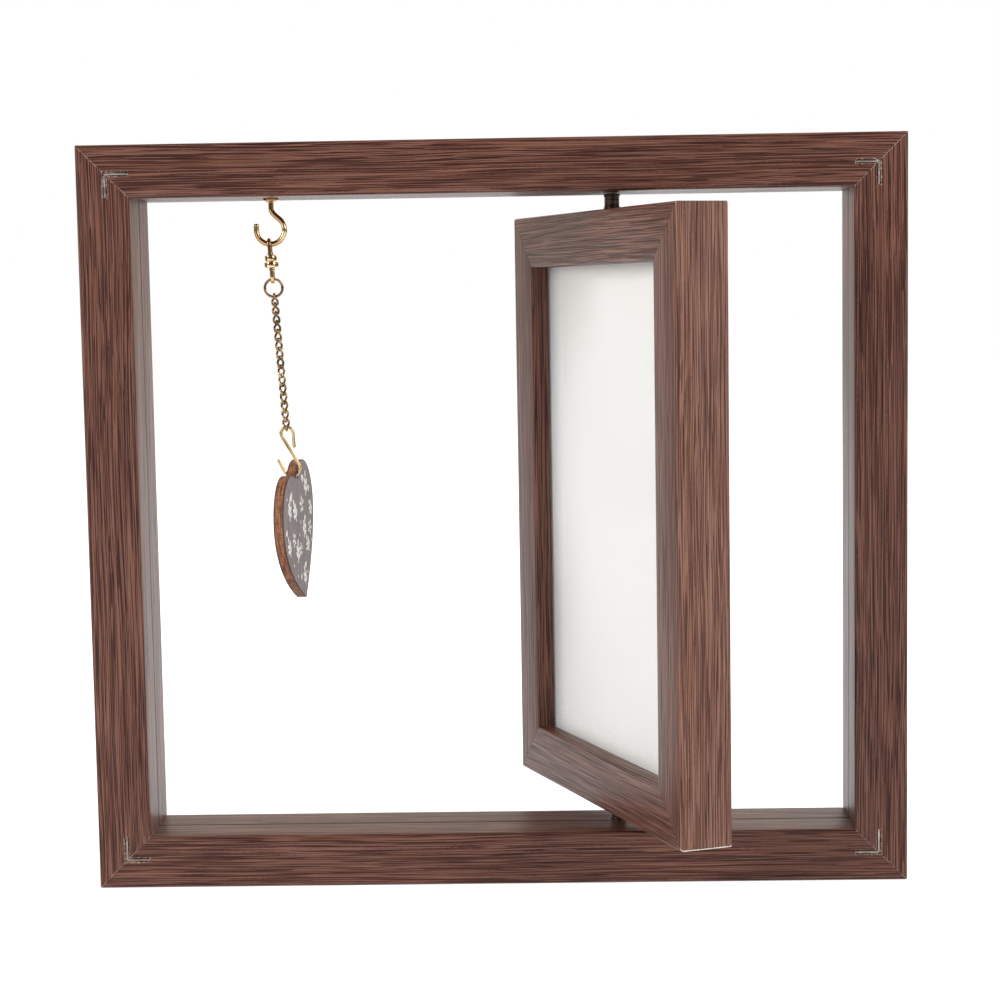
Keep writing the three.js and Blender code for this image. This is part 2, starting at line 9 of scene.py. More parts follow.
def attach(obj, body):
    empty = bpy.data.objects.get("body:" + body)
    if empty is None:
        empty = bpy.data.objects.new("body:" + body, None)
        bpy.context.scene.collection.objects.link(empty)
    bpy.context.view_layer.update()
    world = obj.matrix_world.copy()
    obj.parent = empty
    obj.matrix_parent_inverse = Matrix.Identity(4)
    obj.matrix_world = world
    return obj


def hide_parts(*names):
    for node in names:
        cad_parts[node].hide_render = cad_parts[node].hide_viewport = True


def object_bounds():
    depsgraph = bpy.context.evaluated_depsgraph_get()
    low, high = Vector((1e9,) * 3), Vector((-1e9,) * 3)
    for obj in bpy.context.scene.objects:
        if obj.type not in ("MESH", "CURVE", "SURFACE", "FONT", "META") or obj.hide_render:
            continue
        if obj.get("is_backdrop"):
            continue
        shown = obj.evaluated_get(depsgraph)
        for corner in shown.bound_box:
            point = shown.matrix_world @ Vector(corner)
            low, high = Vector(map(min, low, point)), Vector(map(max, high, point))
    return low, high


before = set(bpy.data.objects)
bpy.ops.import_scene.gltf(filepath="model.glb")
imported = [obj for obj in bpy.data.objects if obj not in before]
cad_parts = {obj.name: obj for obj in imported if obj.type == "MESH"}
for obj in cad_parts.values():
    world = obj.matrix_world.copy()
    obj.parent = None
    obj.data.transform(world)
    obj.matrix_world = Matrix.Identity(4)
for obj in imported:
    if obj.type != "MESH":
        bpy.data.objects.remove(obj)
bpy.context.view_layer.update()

# Outer rails: fibreboard sticks wrapped in printed walnut foil, mitred at 45 degrees and glued. The
# foil's two edges meet in a fine seam along the middle of each rail's inner face, whose groove is
# painted dark as painted shade, and the bare board shows as a pale line at the mitres and round the
# nails.
MM = 0.001
OUTER_WIDTH, OUTER_HEIGHT = 240.0, 219.0
OUTER_FACE, OUTER_DEPTH = 15.5, 29.4
SEAM_WIDTH, SEAM_DEPTH, SEAM_SHADE_REACH = 0.5, 0.6, 0.6
EDGE_RADIUS, ARRIS, GLUE_LINE = 0.8, 0.09, 0.03
NAIL_THICKNESS, NAIL_PLAY = 0.7, 0.2
OUTER_NAIL_INSET, OUTER_NAIL_LEG = 8.4, 6.5
SLOT_DEPTH, SLOT_WALL, SLOT_RAGGED = 1.1, 0.14, 0.05
SLOT_WEAR, SLOT_WEAR_REACH = 0.6, 0.75
OUTER_MITRE_WEAR, MITRE_WEAR_REACH = 0.74, 0.34
BARE_END_REACH, CHIP_WEAR, CHIP_REACH = 0.45, 0.75, 0.8
OUTER_PRINT_STEP = np.array([0.31, 0.17])
BARE = -1


def linear(code):
    """A colour as sRGB hex, turned to opaque linear red, green and blue by the standard curve."""
    s = np.array([int(code[i:i + 2], 16) for i in (1, 3, 5)]) / 255
    return (*np.where(s <= 0.04045, s / 12.92, ((s + 0.055) / 1.055) ** 2.4).tolist(), 1.0)


def feed(tree, made, inputs):
    """Fills a node's sockets, by name or in order: each takes a value, a socket, or another node's
    first output."""
    for key, value in (inputs.items() if isinstance(inputs, dict) else enumerate(inputs)):
        if isinstance(value, bpy.types.Node):
            value = value.outputs[0]
        if isinstance(value, bpy.types.NodeSocket):
            tree.links.new(value, made.inputs[key])
        else:
            made.inputs[key].default_value = value


def node(tree, kind, inputs=(), stops=(), **settings):
    """Adds a shader node: inputs fill its sockets, stops are a colour ramp's places and hex
    colours, and settings are its properties."""
    made = tree.nodes.new("ShaderNode" + kind)
    for key, value in settings.items():
        setattr(made, key, value)
    for _ in stops[2:]:
        made.color_ramp.elements.new(1.0)
    for number, (place, code) in enumerate(stops):
        element = made.color_ramp.elements[number]
        element.position, element.color = place, linear(code)
    feed(tree, made, inputs)
    return made


def new_finish(name, **sockets):
    """A material with one Principled shader, its sockets set to the values given."""
    made = bpy.data.materials.new(name)
    made.use_nodes = True
    shader = made.node_tree.nodes["Principled BSDF"]
    feed(made.node_tree, shader, {key.replace("_", " "): value for key, value in sockets.items()})
    return made, made.node_tree, shader


def streaks(tree, uv, length, width, detail, roughness=0.5):
    """Noise drawn out into streaks along a UV map's first measure: the map is divided by the
    streaks' length and width before the noise reads it."""
    scaled = node(tree, "VectorMath", (uv, (1 / length, 1 / width, 0)), operation="MULTIPLY")
    return node(tree, "TexNoise", {"Vector": scaled, "Scale": 1.0, "Detail": detail,
                                   "Roughness": roughness}, noise_dimensions="2D")


def walnut_foil(name, dark, middle, pale, pore, rust, bare):
    """Printed walnut film under satin lacquer. Fine streaks, 0.3 to 6 mm across and 16 to 80 mm
    long, run along the rail by its UV, in metres along and round it. Each fibre is shifted along by
    a noise of its place across, so that no ends line up. Rusty patches, dark pores and pale flecks
    lie over them, and the print is a little duller where it is dark. The mark attribute bares the
    board where the foil has rubbed off, and below nil paints the seam's groove pore-dark as painted
    shade."""
    made, tree, shader = new_finish(name, Specular_IOR_Level=0.28)
    uv = node(tree, "UVMap", uv_map="wrap")
    across = node(tree, "SeparateXYZ", (uv,)).outputs["Y"]
    stagger = node(tree, "TexNoise", {"W": across, "Scale": 1 / 0.0008, "Detail": 0.0},
                   noise_dimensions="1D")
    shift, drift = (node(tree, "MapRange", (noise, 0.3, 0.7, -most, most)) for noise, most in (
        (stagger, 0.023), (streaks(tree, uv, 0.11, 0.02, 1), 0.0007)))
    bent = node(tree, "CombineXYZ", (shift, drift))
    bent = node(tree, "VectorMath", (uv, bent), operation="ADD")
    fibre, grain, band, speckle, pores, flecks, hue = (
        streaks(tree, bent, length, width, detail, 0.6) for length, width, detail in (
            (0.046, 0.00034, 1), (0.08, 0.0009, 1), (0.05, 0.006, 1), (0.0012, 0.0005, 1),
            (0.026, 0.0004, 0), (0.016, 0.00034, 0), (0.03, 0.0028, 1)))
    tone = node(tree, "Math", (fibre, 0.7), operation="MULTIPLY")
    for layer, share in ((grain, 0.08), (band, 0.07), (speckle, 0.15)):
        tone = node(tree, "Math", (layer, share, tone), operation="MULTIPLY_ADD")
    colour = node(tree, "ValToRGB", (tone,), ((0.41, dark), (0.5, middle), (0.59, pale)))
    masks = [(node(tree, "MapRange", (layer, low, high, 0.0, share)), code)
             for layer, code, low, high, share in (
                 (hue, rust, 0.5, 0.68, 0.4), (pores, pore, 0.63, 0.7, 0.9),
                 (flecks, pale, 0.63, 0.7, 0.85))]
    # The mark holds rubbed-off foil above nil, and painted shade in the seam's groove below it.
    worn_and_shaded = node(tree, "Attribute", attribute_name="wear").outputs["Fac"]
    seam_shade = node(tree, "Math", (worn_and_shaded, -1.0), operation="MULTIPLY", use_clamp=True)
    crumbs = node(tree, "TexNoise", {"Vector": node(tree, "TexCoord").outputs["Object"],
                                     "Scale": 1 / 0.0007, "Detail": 3.0})
    worn_and_shaded = node(tree, "Math", (crumbs, worn_and_shaded), operation="ADD")
    worn_and_shaded = node(tree, "MapRange", (worn_and_shaded, 0.98, 1.12))
    for mask, code in (*masks, (seam_shade, pore), (worn_and_shaded, bare)):
        colour = node(tree, "MixRGB", (mask, colour, linear(code)))
    gloss = node(tree, "MapRange", (tone, 0.38, 0.62, 0.5, 0.3))
    pressed = node(tree, "Bump", {"Height": tone, "Strength": 0.35, "Distance": 0.00012})
    feed(tree, shader, {"Base Color": colour, "Roughness": gloss, "Normal": pressed})
    return made


def mottled(name, size, detail, stops, **sockets):
    """A finish whose colour wanders through the stops, in patches of a size in metres."""
    made, tree, shader = new_finish(name, **sockets)
    patches = node(tree, "TexNoise", {"Vector": node(tree, "TexCoord").outputs["Object"],
                                      "Scale": 1 / size, "Detail": detail})
    feed(tree, shader, {"Base Color": node(tree, "ValToRGB", (patches,), stops)})
    return made, tree, shader


def unit(ways):
    """Ways scaled to a length of one."""
    return ways / np.linalg.norm(ways, axis=-1, keepdims=True)


def rounded(corners, steps=4):
    """A closed outline from corners given as two measures and a radius: each corner turns into an
    arc of that radius that touches both of its sides, or stays a point where the radius is nil."""
    here = np.array(corners, float)
    runs = []
    for before, now, after in zip(np.roll(here, 1, 0), here, np.roll(here, -1, 0)):
        point, radius = now[:2], now[2]
        if radius == 0:
            runs.append(point[None])
            continue
        back, on = unit(before[:2] - point), unit(after[:2] - point)
        half = math.acos(float(np.clip(back @ on, -1, 1))) / 2
        centre = point + unit(back + on) * radius / math.sin(half)
        start, end = (point + way * radius / math.tan(half) - centre for way in (back, on))
        turn = math.pi - 2 * half
        t = np.linspace(0, 1, steps + 1)[:, None]
        swept = np.sin((1 - t) * turn) * start + np.sin(t * turn) * end
        runs.append(centre + swept / math.sin(turn))
    return np.concatenate(runs)


def leftward(outline):
    """At each point of a closed outline, the way square to it, on its left."""
    step = np.roll(outline, -1, 0) - np.roll(outline, 1, 0)
    return unit(np.stack([-step[:, 1], step[:, 0]], -1))


def lattice(rows, columns):
    """Corner numbers of the quads round a tube of points: each quad joins neighbours in two rows,
    and the last column joins the first."""
    r, c = np.meshgrid(np.arange(rows - 1), np.arange(columns), indexing="ij")
    n = (c + 1) % columns
    corners = (r * columns + c, r * columns + n, (r + 1) * columns + n, (r + 1) * columns + c)
    return np.stack(corners, -1).reshape(-1, 4)


def tube(grid, ends=True, **marks):
    """A shape from rows of points round a tube: quads join neighbours, and each end gets a face."""
    rows, columns = grid.shape[:2]
    ring = np.arange(columns)
    return {"points": grid.reshape(-1, 3), "quads": lattice(rows, columns),
            "caps": [ring, ring + (rows - 1) * columns] if ends else [], **marks}


def corner_uv(u, v):
    """UV pairs at the corners of a tube's quads: u and v have a value for each row and column, with
    the closing column added, so that the wrap has no smear."""
    at = np.stack(np.broadcast_arrays(u, v), -1)
    return np.stack([at[:-1, :-1], at[:-1, 1:], at[1:, 1:], at[1:, :-1]], 2).reshape(-1, 2)


def run_along(outline):
    """Metres run along a closed outline at each of its points, and at the first again."""
    steps = np.linalg.norm(np.diff(outline, axis=0, append=outline[:1]), axis=1)
    return np.concatenate([[0], np.cumsum(steps)]) * MM


def rail(length, outline, inset, leg, nailed, mitre_wear, bare_end=0):
    """A mitred rail along X. The outline, in (z, y), is carried from mitre to mitre, in rows that
    crowd at the mitres and nails: x is a share of half the length less z. Slots for the nails sink
    into the face nailed, in y, within half a nail and its play of the inset, as far as the leg
    reaches. The mark of rubbed foil grows at the slots and mitres, and at the bare end on the outer
    face; a small chip stands on the front arris of the other end. Along the seam the mark falls
    below nil, as painted shade in the groove."""
    middle = length / 2 - inset
    near = np.concatenate([[0, ARRIS, 0.3, 0.6], np.arange(0.85, leg - 0.3, 0.3),
                           np.arange(leg - 0.3, leg + 0.7, 0.1), [leg + 1, 9.5, 13, 19, 27]])
    far = np.linspace(near[-1] / middle - 1, 1 - near[-1] / middle, 14)[1:-1]
    along = np.concatenate([near / middle - 1, far, 1 - near[::-1] / middle])
    turning = np.sign(np.sum(outline[:, 0] * np.roll(outline[:, 1], -1)
                             - np.roll(outline[:, 0], -1) * outline[:, 1]))
    rows = np.broadcast_to(outline, (len(along), *outline.shape)).copy()
    rows[[0, -1]] = outline + turning * leftward(outline) * ARRIS
    z, y = rows[..., 0], rows[..., 1]
    x = along[:, None] * (length / 2 - z - GLUE_LINE)

    ragged = SLOT_RAGGED * (np.sin(7.1 * x + 3 * z) + np.sin(17.3 * x - 9 * z))
    within = ragged + np.minimum(NAIL_THICKNESS / 2 + NAIL_PLAY - np.abs(z - inset),
                                 inset + leg + NAIL_PLAY - (length / 2 - np.abs(x)))
    on_face = np.abs(y - nailed) < 0.2 + ARRIS
    sunk = np.clip(within / SLOT_WALL + 0.5, 0, 1)
    sunk = np.where(on_face, sunk * sunk * (3 - 2 * sunk), 0)
    from_mitre = (1 - np.abs(along))[:, None] * middle
    wear = np.maximum(
        np.where(on_face, np.clip(1.05 + within / SLOT_WEAR_REACH, 0, 1), 0) * SLOT_WEAR,
        np.clip(1 - from_mitre / MITRE_WEAR_REACH, 0, 1) * mitre_wear)
    if bare_end:
        outer_face = (z < 0.5) & (np.sign(x) == bare_end)
        bared = np.clip(1.25 - from_mitre / BARE_END_REACH, 0, 1)
        arris = (z < 0.6 * EDGE_RADIUS) & (y < outline[:, 1].min() + 0.6 * EDGE_RADIUS)
        chip = np.clip(1.1 - from_mitre / CHIP_REACH, 0, CHIP_WEAR)
        wear = np.where(outer_face, np.maximum(wear, bared), wear)
        wear = np.where(arris & (np.sign(x) == -bare_end), np.maximum(wear, chip), wear)
    # Painted shade: the seam's groove is marked below nil, so that the foil paints it dark.
    wear = np.where((np.abs(y) < SEAM_SHADE_REACH) & (z > OUTER_FACE / 2), -1.0, wear)

    shape = tube(np.stack([x, y - np.sign(nailed) * SLOT_DEPTH * sunk, z], -1), wear=wear.ravel(),
                 uv=corner_uv(np.column_stack([x, x[:, 0]]) * MM, run_along(outline)))
    shape["kinds"] = np.where(sunk.ravel()[shape["quads"]].mean(1) > 0.3, BARE, 0)
    return shape


def add_object(name, data):
    """A new object in the scene, at the origin."""
    made = bpy.data.objects.new(name, data)
    bpy.context.scene.collection.objects.link(made)
    return made


def make_piece(name, shape, finishes, body, slot, *stands_for, sharp=38):
    """One piece from a shape's arrays, in millimetres. Quads take the finish of their kind, the
    first if none is given, and caps the last. Doubled points are merged, and faces are turned
    outwards."""
    quads, caps = shape["quads"], shape["caps"]
    mesh = bpy.data.meshes.new(name)
    mesh.from_pydata((shape["points"] * MM).tolist(), [],
                     quads.tolist() + [cap.tolist() for cap in caps])
    for finish in finishes:
        mesh.materials.append(finish)
    kinds = np.append(shape.get("kinds", np.zeros(len(quads))), np.full(len(caps), BARE))
    mesh.polygons.foreach_set("material_index", (kinds % len(finishes)).astype(np.int32))
    if "uv" in shape:
        spread = np.zeros((len(mesh.loops), 2), np.float32)
        spread[:len(shape["uv"])] = shape["uv"]
        mesh.uv_layers.new(name="wrap").data.foreach_set("uv", spread.ravel())
    if "wear" in shape:
        mark = mesh.attributes.new("wear", "FLOAT", "POINT")
        mark.data.foreach_set("value", shape["wear"].astype(np.float32))
    work = bmesh.new()
    work.from_mesh(mesh)
    bmesh.ops.remove_doubles(work, verts=work.verts, dist=1e-7)
    bmesh.ops.recalc_face_normals(work, faces=work.faces)
    work.to_mesh(mesh)
    work.free()
    mesh.shade_smooth()
    mesh.set_sharp_from_angle(angle=math.radians(sharp))
    made = add_object(name, mesh)
    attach(made, body)
    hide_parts(*stands_for)
    return made


def moved(shape, by, axis="Z", angle=0.0):
    """A shape turned about an axis through the origin, by degrees, and then moved."""
    turn = np.array(Matrix.Rotation(math.radians(angle), 3, axis))
    return {**shape, "points": shape["points"] @ turn.T + by}


def frame_sides(width, height):
    """A frame's four sides about the origin: name, nailed corner, length, turn about Y, place."""
    return (("bottom", "bottom_left", width, 0, (0, 0, -height / 2)),
            ("right", "bottom_right", height, -90, (width / 2, 0, 0)),
            ("top", "top_right", width, 180, (0, 0, height / 2)),
            ("left", "top_left", height, 90, (-width / 2, 0, 0)))


def nailed_lines(inset, face):
    """Heights of the lines across a nailed face, crowded round the nail's slot."""
    close = np.concatenate([np.arange(-1.5, -0.8, 0.2), np.arange(-0.75, 0.8, 0.1),
                            np.arange(0.9, 1.6, 0.2)])
    return np.concatenate([[2.5, 4.5], inset + close, [face - 4, face - 2]])


FOIL = walnut_foil("walnut foil, printed and satin lacquered",
                   "#2f100a", "#4a241b", "#7f5648", "#250a05", "#663a26", "#b9a295")
# The sawn board is a crumbly felt of pale and dark fibres.
BARE_BOARD, *_ = mottled("bare fibreboard, sawn", 0.0015, 3.0, (
    (0.36, "#4d382e"), (0.52, "#846c5f"), (0.66, "#b7a498")), Roughness=0.85)
OUTER_MIDDLE = np.array([0, 0, OUTER_HEIGHT / 2])
half_depth = OUTER_DEPTH / 2
outer_outline = rounded([
    (0, -half_depth, EDGE_RADIUS),
    *((z, -half_depth, 0) for z in nailed_lines(OUTER_NAIL_INSET, OUTER_FACE)),
    (OUTER_FACE, -half_depth, EDGE_RADIUS), (OUTER_FACE, -half_depth / 2, 0),
    (OUTER_FACE, -SEAM_SHADE_REACH - 0.3, 0), (OUTER_FACE, 0.1 - SEAM_SHADE_REACH, 0),
    (OUTER_FACE, -SEAM_WIDTH / 2, 0.12), (OUTER_FACE - SEAM_DEPTH, 0, 0.05),
    (OUTER_FACE, SEAM_WIDTH / 2, 0.12), (OUTER_FACE, SEAM_SHADE_REACH - 0.1, 0),
    (OUTER_FACE, SEAM_SHADE_REACH + 0.3, 0), (OUTER_FACE, half_depth / 2, 0),
    (OUTER_FACE, half_depth, EDGE_RADIUS), (OUTER_FACE / 2, half_depth, 0),
    (0, half_depth, EDGE_RADIUS), (0, 0, 0)])
for number, (side, _, length, turn, place) in enumerate(frame_sides(OUTER_WIDTH, OUTER_HEIGHT)):
    shape = rail(length, outer_outline, OUTER_NAIL_INSET, OUTER_NAIL_LEG, -half_depth,
                 OUTER_MITRE_WEAR)
    shape = moved(shape, place + OUTER_MIDDLE, "Y", turn)
    shape["uv"] = shape["uv"] + number * OUTER_PRINT_STEP
    make_piece(f"outer_{side}_rail_wrapped", shape, (FOIL, BARE_BOARD), "outer_frame",
               "walnut_foil", f"outer_{side}_rail")

# Corner nails: strips of zinc-plated steel, bent to an L and driven across the mitres, so that only
# their dull upper edges show, a little below the face.
NAIL_SUNK, NAIL_BEND, NAIL_SHORT = 0.3, 0.5, 0.15
NAIL_EDGE, NAIL_FOOT_EDGE, NAIL_RIPPLE = 0.12, 0.05, 0.05
OUTER_NAIL_DEPTH = 7.7
ZINC, *_ = mottled("zinc-plated steel, sheared and dulled", 0.003, 2.0, (
    (0.35, "#857a73"), (0.55, "#a79c94"), (0.7, "#c6bcb4")), Metallic=1.0, Roughness=0.45)


def carried(path, section, side, share=1.0, closed=False):
    """A section carried along a path: at each point its first measure runs along side, made square
    to the path, and its second along what is square to both. Share swells or shrinks it point by
    point. An open path gets a face at each end."""
    step = np.roll(path, -1, 0) - np.roll(path, 1, 0) if closed else np.gradient(path, axis=0)
    ahead = unit(step)
    side = unit(side - np.sum(side * ahead, 1)[:, None] * ahead)
    rise = np.cross(ahead, side)
    spread = section[:, :1] * side[:, None] + section[:, 1:] * rise[:, None]
    grid = path[:, None] + np.reshape(share, (-1, 1, 1)) * spread
    shape = tube(grid, ends=not closed)
    if closed:
        shape["quads"] = lattice(len(path) + 1, len(section)) % len(shape["points"])
    return shape


def nail(length, inset, leg, depth, front, inward):
    """A corner nail: a strip, thin across and deep in y, carried along an L with a small bend. Its
    edge ripples a little below the face."""
    angle = np.linspace(0, math.pi / 2, 9)
    bend = NAIL_BEND * np.stack([1 - np.sin(angle), 1 - np.cos(angle)], -1)
    reach = np.linspace(leg - NAIL_SHORT, NAIL_BEND + 0.2, 16)
    first = np.stack([reach, 0 * reach], -1)
    flat = np.concatenate([first, bend, first[::-1, ::-1]]) + inset
    ripple = inward * (0.06 + NAIL_RIPPLE * np.sin(2.6 * np.arange(len(flat))))
    path = np.stack([flat[:, 0] - length / 2, ripple, flat[:, 1]], -1)
    thin = NAIL_THICKNESS / 2 - 0.05
    top, foot = front + inward * NAIL_SUNK, front + inward * depth
    section = rounded([(top, -thin, NAIL_EDGE), (top, thin, NAIL_EDGE),
                       (foot, thin, NAIL_FOOT_EDGE), (foot, -thin, NAIL_FOOT_EDGE)], 2)
    return carried(path, section, np.array([0, 1, 0]))


for side, corner, length, turn, place in frame_sides(OUTER_WIDTH, OUTER_HEIGHT):
    shape = nail(length, OUTER_NAIL_INSET, OUTER_NAIL_LEG, OUTER_NAIL_DEPTH, -half_depth, 1)
    make_piece(f"outer_nail_{corner}_strip", moved(shape, place + OUTER_MIDDLE, "Y", turn), (ZINC,),
               "outer_frame", "zinc_steel", f"outer_nail_{corner}")

# Pivots: a steel pin stands in blind holes of both frames, top and bottom, and a dark bronze
# sleeve, turned with a shallow waist, keeps the frames apart. Only the sleeves show.
PIVOT_X = 35.2
SLEEVE_RADIUS, SLEEVE_BORE, SLEEVE_RIM, SLEEVE_WAIST = 2.4, 1.7, 0.75, 0.2
SLEEVE_ENDS = (("bottom", 15.8, 20.4), ("top", 198.6, 203.2))
# Fine turning rings catch the light through the dark lacquer.
BRONZE, tree, shader = new_finish("bronze lacquer on turned steel", Metallic=0.75, Roughness=0.36)
rings = node(tree, "Mapping", {"Vector": node(tree, "TexCoord").outputs["Object"],
                               "Scale": (90, 90, 1 / 0.0004)})
rings = node(tree, "TexNoise", {"Vector": rings, "Scale": 1.0, "Detail": 2.0})
feed(tree, shader, {
    "Base Color": node(tree, "ValToRGB", (rings,), (
        (0.35, "#2a1a13"), (0.52, "#45322a"), (0.68, "#6a564c"))),
    "Normal": node(tree, "Bump", {"Height": rings, "Strength": 0.3, "Distance": 0.0001})})


def circle(count, radius=1.0):
    """Even points round a circle about the origin, in two measures."""
    angle = np.linspace(0, 2 * math.pi, count, endpoint=False)
    return radius * np.stack([np.cos(angle), np.sin(angle)], -1)


def lathed(profile, around=48, ring=True):
    """A profile of (radius, height) points turned about Z: each point runs round a circle. A ring's
    profile closes on itself."""
    profile = np.concatenate([profile, profile[:1]]) if ring else profile
    radius, height = profile.T[..., None]
    x, y = circle(around).T
    grid = np.stack(np.broadcast_arrays(radius * x, radius * y, height), -1)
    return tube(grid, ends=False)


for end, low, high in SLEEVE_ENDS:
    waist = SLEEVE_RADIUS - SLEEVE_WAIST
    under, over = low + SLEEVE_RIM, high - SLEEVE_RIM
    shape = lathed(rounded([
        (SLEEVE_BORE, low, 0.08), (SLEEVE_RADIUS, low, 0.25), (SLEEVE_RADIUS, under, 0.1),
        (waist, under + SLEEVE_WAIST, 0.1), (waist, over - SLEEVE_WAIST, 0.1),
        (SLEEVE_RADIUS, over, 0.1), (SLEEVE_RADIUS, high, 0.25), (SLEEVE_BORE, high, 0.08)], 3))
    make_piece(f"{end}_pivot_sleeve_turned", moved(shape, (PIVOT_X, 0, 0)), (BRONZE,),
               "outer_frame", "bronze_steel", f"{end}_pivot_sleeve")
    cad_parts[f"{end}_pivot_pin"].data.materials[0] = ZINC

# Inner rails: slimmer foil-wrapped sticks with a groove for the photo pack along their inner faces.
# The left rail is slotted right through, so that the pack slides in and out there. The right rail's
# outer side wears a paler copy of the foil as painted light, for the brighter light that falls on
# that side, and its lower end shows bare board.
INNER_WIDTH, INNER_HEIGHT = 126.8, 177.6
INNER_FACE, INNER_DEPTH = 15.8, 15.65
GROOVE_WIDTH, GROOVE_DEPTH, SLOT_REACH = 4.9, 3.4, 76.4
INNER_NAIL_INSET, INNER_NAIL_LEG, INNER_NAIL_DEPTH = 7.2, 5.5, 4.3
INNER_TURN = -68.85
LIP_RADIUS, INNER_MITRE_WEAR = 0.25, 0.45
INNER_PRINT_START, INNER_PRINT_STEP = np.array([0.4, 0.5]), np.array([0.23, 0.13])
LIT_SIDE = 1
INNER_MIDDLE = np.array([PIVOT_X, 0, OUTER_HEIGHT / 2])
# Painted light: a paler copy of the foil stands in for the brighter light on the right rail's outer
# side.
LIT_SIDE_FOIL = walnut_foil("walnut foil, painted lit side, satin lacquered",
                        "#47231a", "#643e32", "#946c5d", "#37170f", "#7f5238", "#e9dfd8")
half_inner, half_groove = INNER_DEPTH / 2, GROOVE_WIDTH / 2
groove_floor = INNER_FACE - GROOVE_DEPTH
front_lip = [(0, -half_inner, EDGE_RADIUS), (INNER_FACE / 2, -half_inner, 0),
             (INNER_FACE, -half_inner, EDGE_RADIUS), (INNER_FACE, -half_groove, LIP_RADIUS)]
rear_lip = [(INNER_FACE, half_groove, LIP_RADIUS), (INNER_FACE, half_inner, EDGE_RADIUS),
            *((z, half_inner, 0) for z in nailed_lines(INNER_NAIL_INSET, INNER_FACE)[::-1]),
            (0, half_inner, EDGE_RADIUS)]
inner_outline = rounded([
    *front_lip, (groove_floor, -half_groove, 0), (groove_floor, half_groove, 0), *rear_lip,
    (0, 0, 0)])
front_half = rounded([*front_lip, (INNER_FACE / 2, -half_groove, 0), (0, -half_groove, 0)])
rear_half = rounded([(0, half_groove, 0), (INNER_FACE / 2, half_groove, 0), *rear_lip])


def joined(*shapes):
    """Several bodies as one shape: arrays run on, and corner numbers move up by the points
    before."""
    starts = np.cumsum([0] + [len(shape["points"]) for shape in shapes])
    one = {key: np.concatenate([shape[key] for shape in shapes])
           for key in ("points", "uv", "kinds", "wear") if key in shapes[0]}
    one["quads"] = np.concatenate([shape["quads"] + start for shape, start in zip(shapes, starts)])
    one["caps"] = [cap + start for shape, start in zip(shapes, starts) for cap in shape["caps"]]
    return one


def slot_stop(end):
    """The solid end of the slotted rail: a plain section carried from the slot's end to the mitre,
    where x is half the length less z."""
    section = np.array([(0, -half_groove), (groove_floor, -half_groove),
                        (groove_floor, half_groove), (0, half_groove)])
    z, y = np.broadcast_to(section, (2, 4, 2)).transpose(2, 0, 1)
    x = end * np.stack([np.full(4, SLOT_REACH), INNER_HEIGHT / 2 - section[:, 0] - GLUE_LINE])
    return tube(np.stack([x, y, z], -1), kinds=np.zeros(4), wear=np.zeros(8),
                uv=corner_uv(np.column_stack([x, x[:, 0]]) * MM, run_along(section)))


def in_turn(shape):
    """A shape in the inner frame's measures, turned on the pivots into place."""
    return moved(shape, INNER_MIDDLE, "Z", INNER_TURN)


inner_sides = frame_sides(INNER_WIDTH, INNER_HEIGHT)
for number, (side, corner, length, turn, place) in enumerate(inner_sides):
    sizes = (INNER_NAIL_INSET, INNER_NAIL_LEG, half_inner, INNER_MITRE_WEAR)
    finishes = (FOIL, BARE_BOARD)
    if side == "left":
        shape = joined(rail(length, front_half, *sizes), rail(length, rear_half, *sizes),
                       slot_stop(-1), slot_stop(1))
    elif side == "right":
        shape = rail(length, inner_outline, *sizes, bare_end=-1)
        # Painted light: this rail's outer side face wears the lit copy of the foil.
        on_side = (shape["points"][shape["quads"], 2] < 0.5).all(1)
        shape["kinds"] = np.where(on_side & (shape["kinds"] == 0), LIT_SIDE, shape["kinds"])
        finishes = (FOIL, LIT_SIDE_FOIL, BARE_BOARD)
    else:
        shape = rail(length, inner_outline, *sizes)
    shape = in_turn(moved(shape, place, "Y", turn))
    shape["uv"] = shape["uv"] + INNER_PRINT_START + number * INNER_PRINT_STEP
    make_piece(f"inner_{side}_rail_wrapped", shape, finishes, "inner_frame", "walnut_foil",
               f"inner_{side}_rail")
    shape = nail(length, INNER_NAIL_INSET, INNER_NAIL_LEG, INNER_NAIL_DEPTH, half_inner, -1)
    make_piece(f"inner_nail_{corner}_strip", in_turn(moved(shape, place, "Y", turn)), (ZINC,),
               "inner_frame", "zinc_steel", f"inner_nail_{corner}")

# Photo pack: two white cards back to back, each behind a clear sheet with polished edges. The four
# lie loose in the grooves, and slide out together. The cards' tint stops short of the far edge.
PRINT_WIDTH, PRINT_HEIGHT = 101.6, 152.4
CARD_THICKNESS, CARD_AT, CARD_CORNER, CARD_EDGE = 0.35, 0.275, 0.6, 0.05
SHEET_THICKNESS, SHEET_AT, SHEET_CORNER, SHEET_EDGE = 1.6, 1.45, 0.8, 0.12
TINT_STOP, TINT_FADE = -0.0365, 0.0012
# The matt coating clouds a little and has a faint felt.
CARD, tree, shader = new_finish("white card, matt coated", Roughness=0.7, Specular_IOR_Level=0.35)
uv = node(tree, "UVMap", uv_map="wrap")
cloud = node(tree, "TexNoise", {"Vector": uv, "Scale": 1 / 0.035, "Detail": 2.0})
tint = node(tree, "ValToRGB", (cloud,), ((0.35, "#f5f2ee"), (0.6, "#f9f6f3")))
margin = node(tree, "MapRange", (node(tree, "SeparateXYZ", (uv,)).outputs["X"],
                                 TINT_STOP - TINT_FADE, TINT_STOP, 1.0, 0.0))
tint = node(tree, "MixRGB", (margin, tint, linear("#fdfdfc")))
felt = node(tree, "TexNoise", {"Vector": uv, "Scale": 1 / 0.0006, "Detail": 2.0})
felt = node(tree, "Bump", {"Height": felt, "Strength": 0.02, "Distance": 0.00002})
feed(tree, shader, {"Base Color": tint, "Normal": felt})

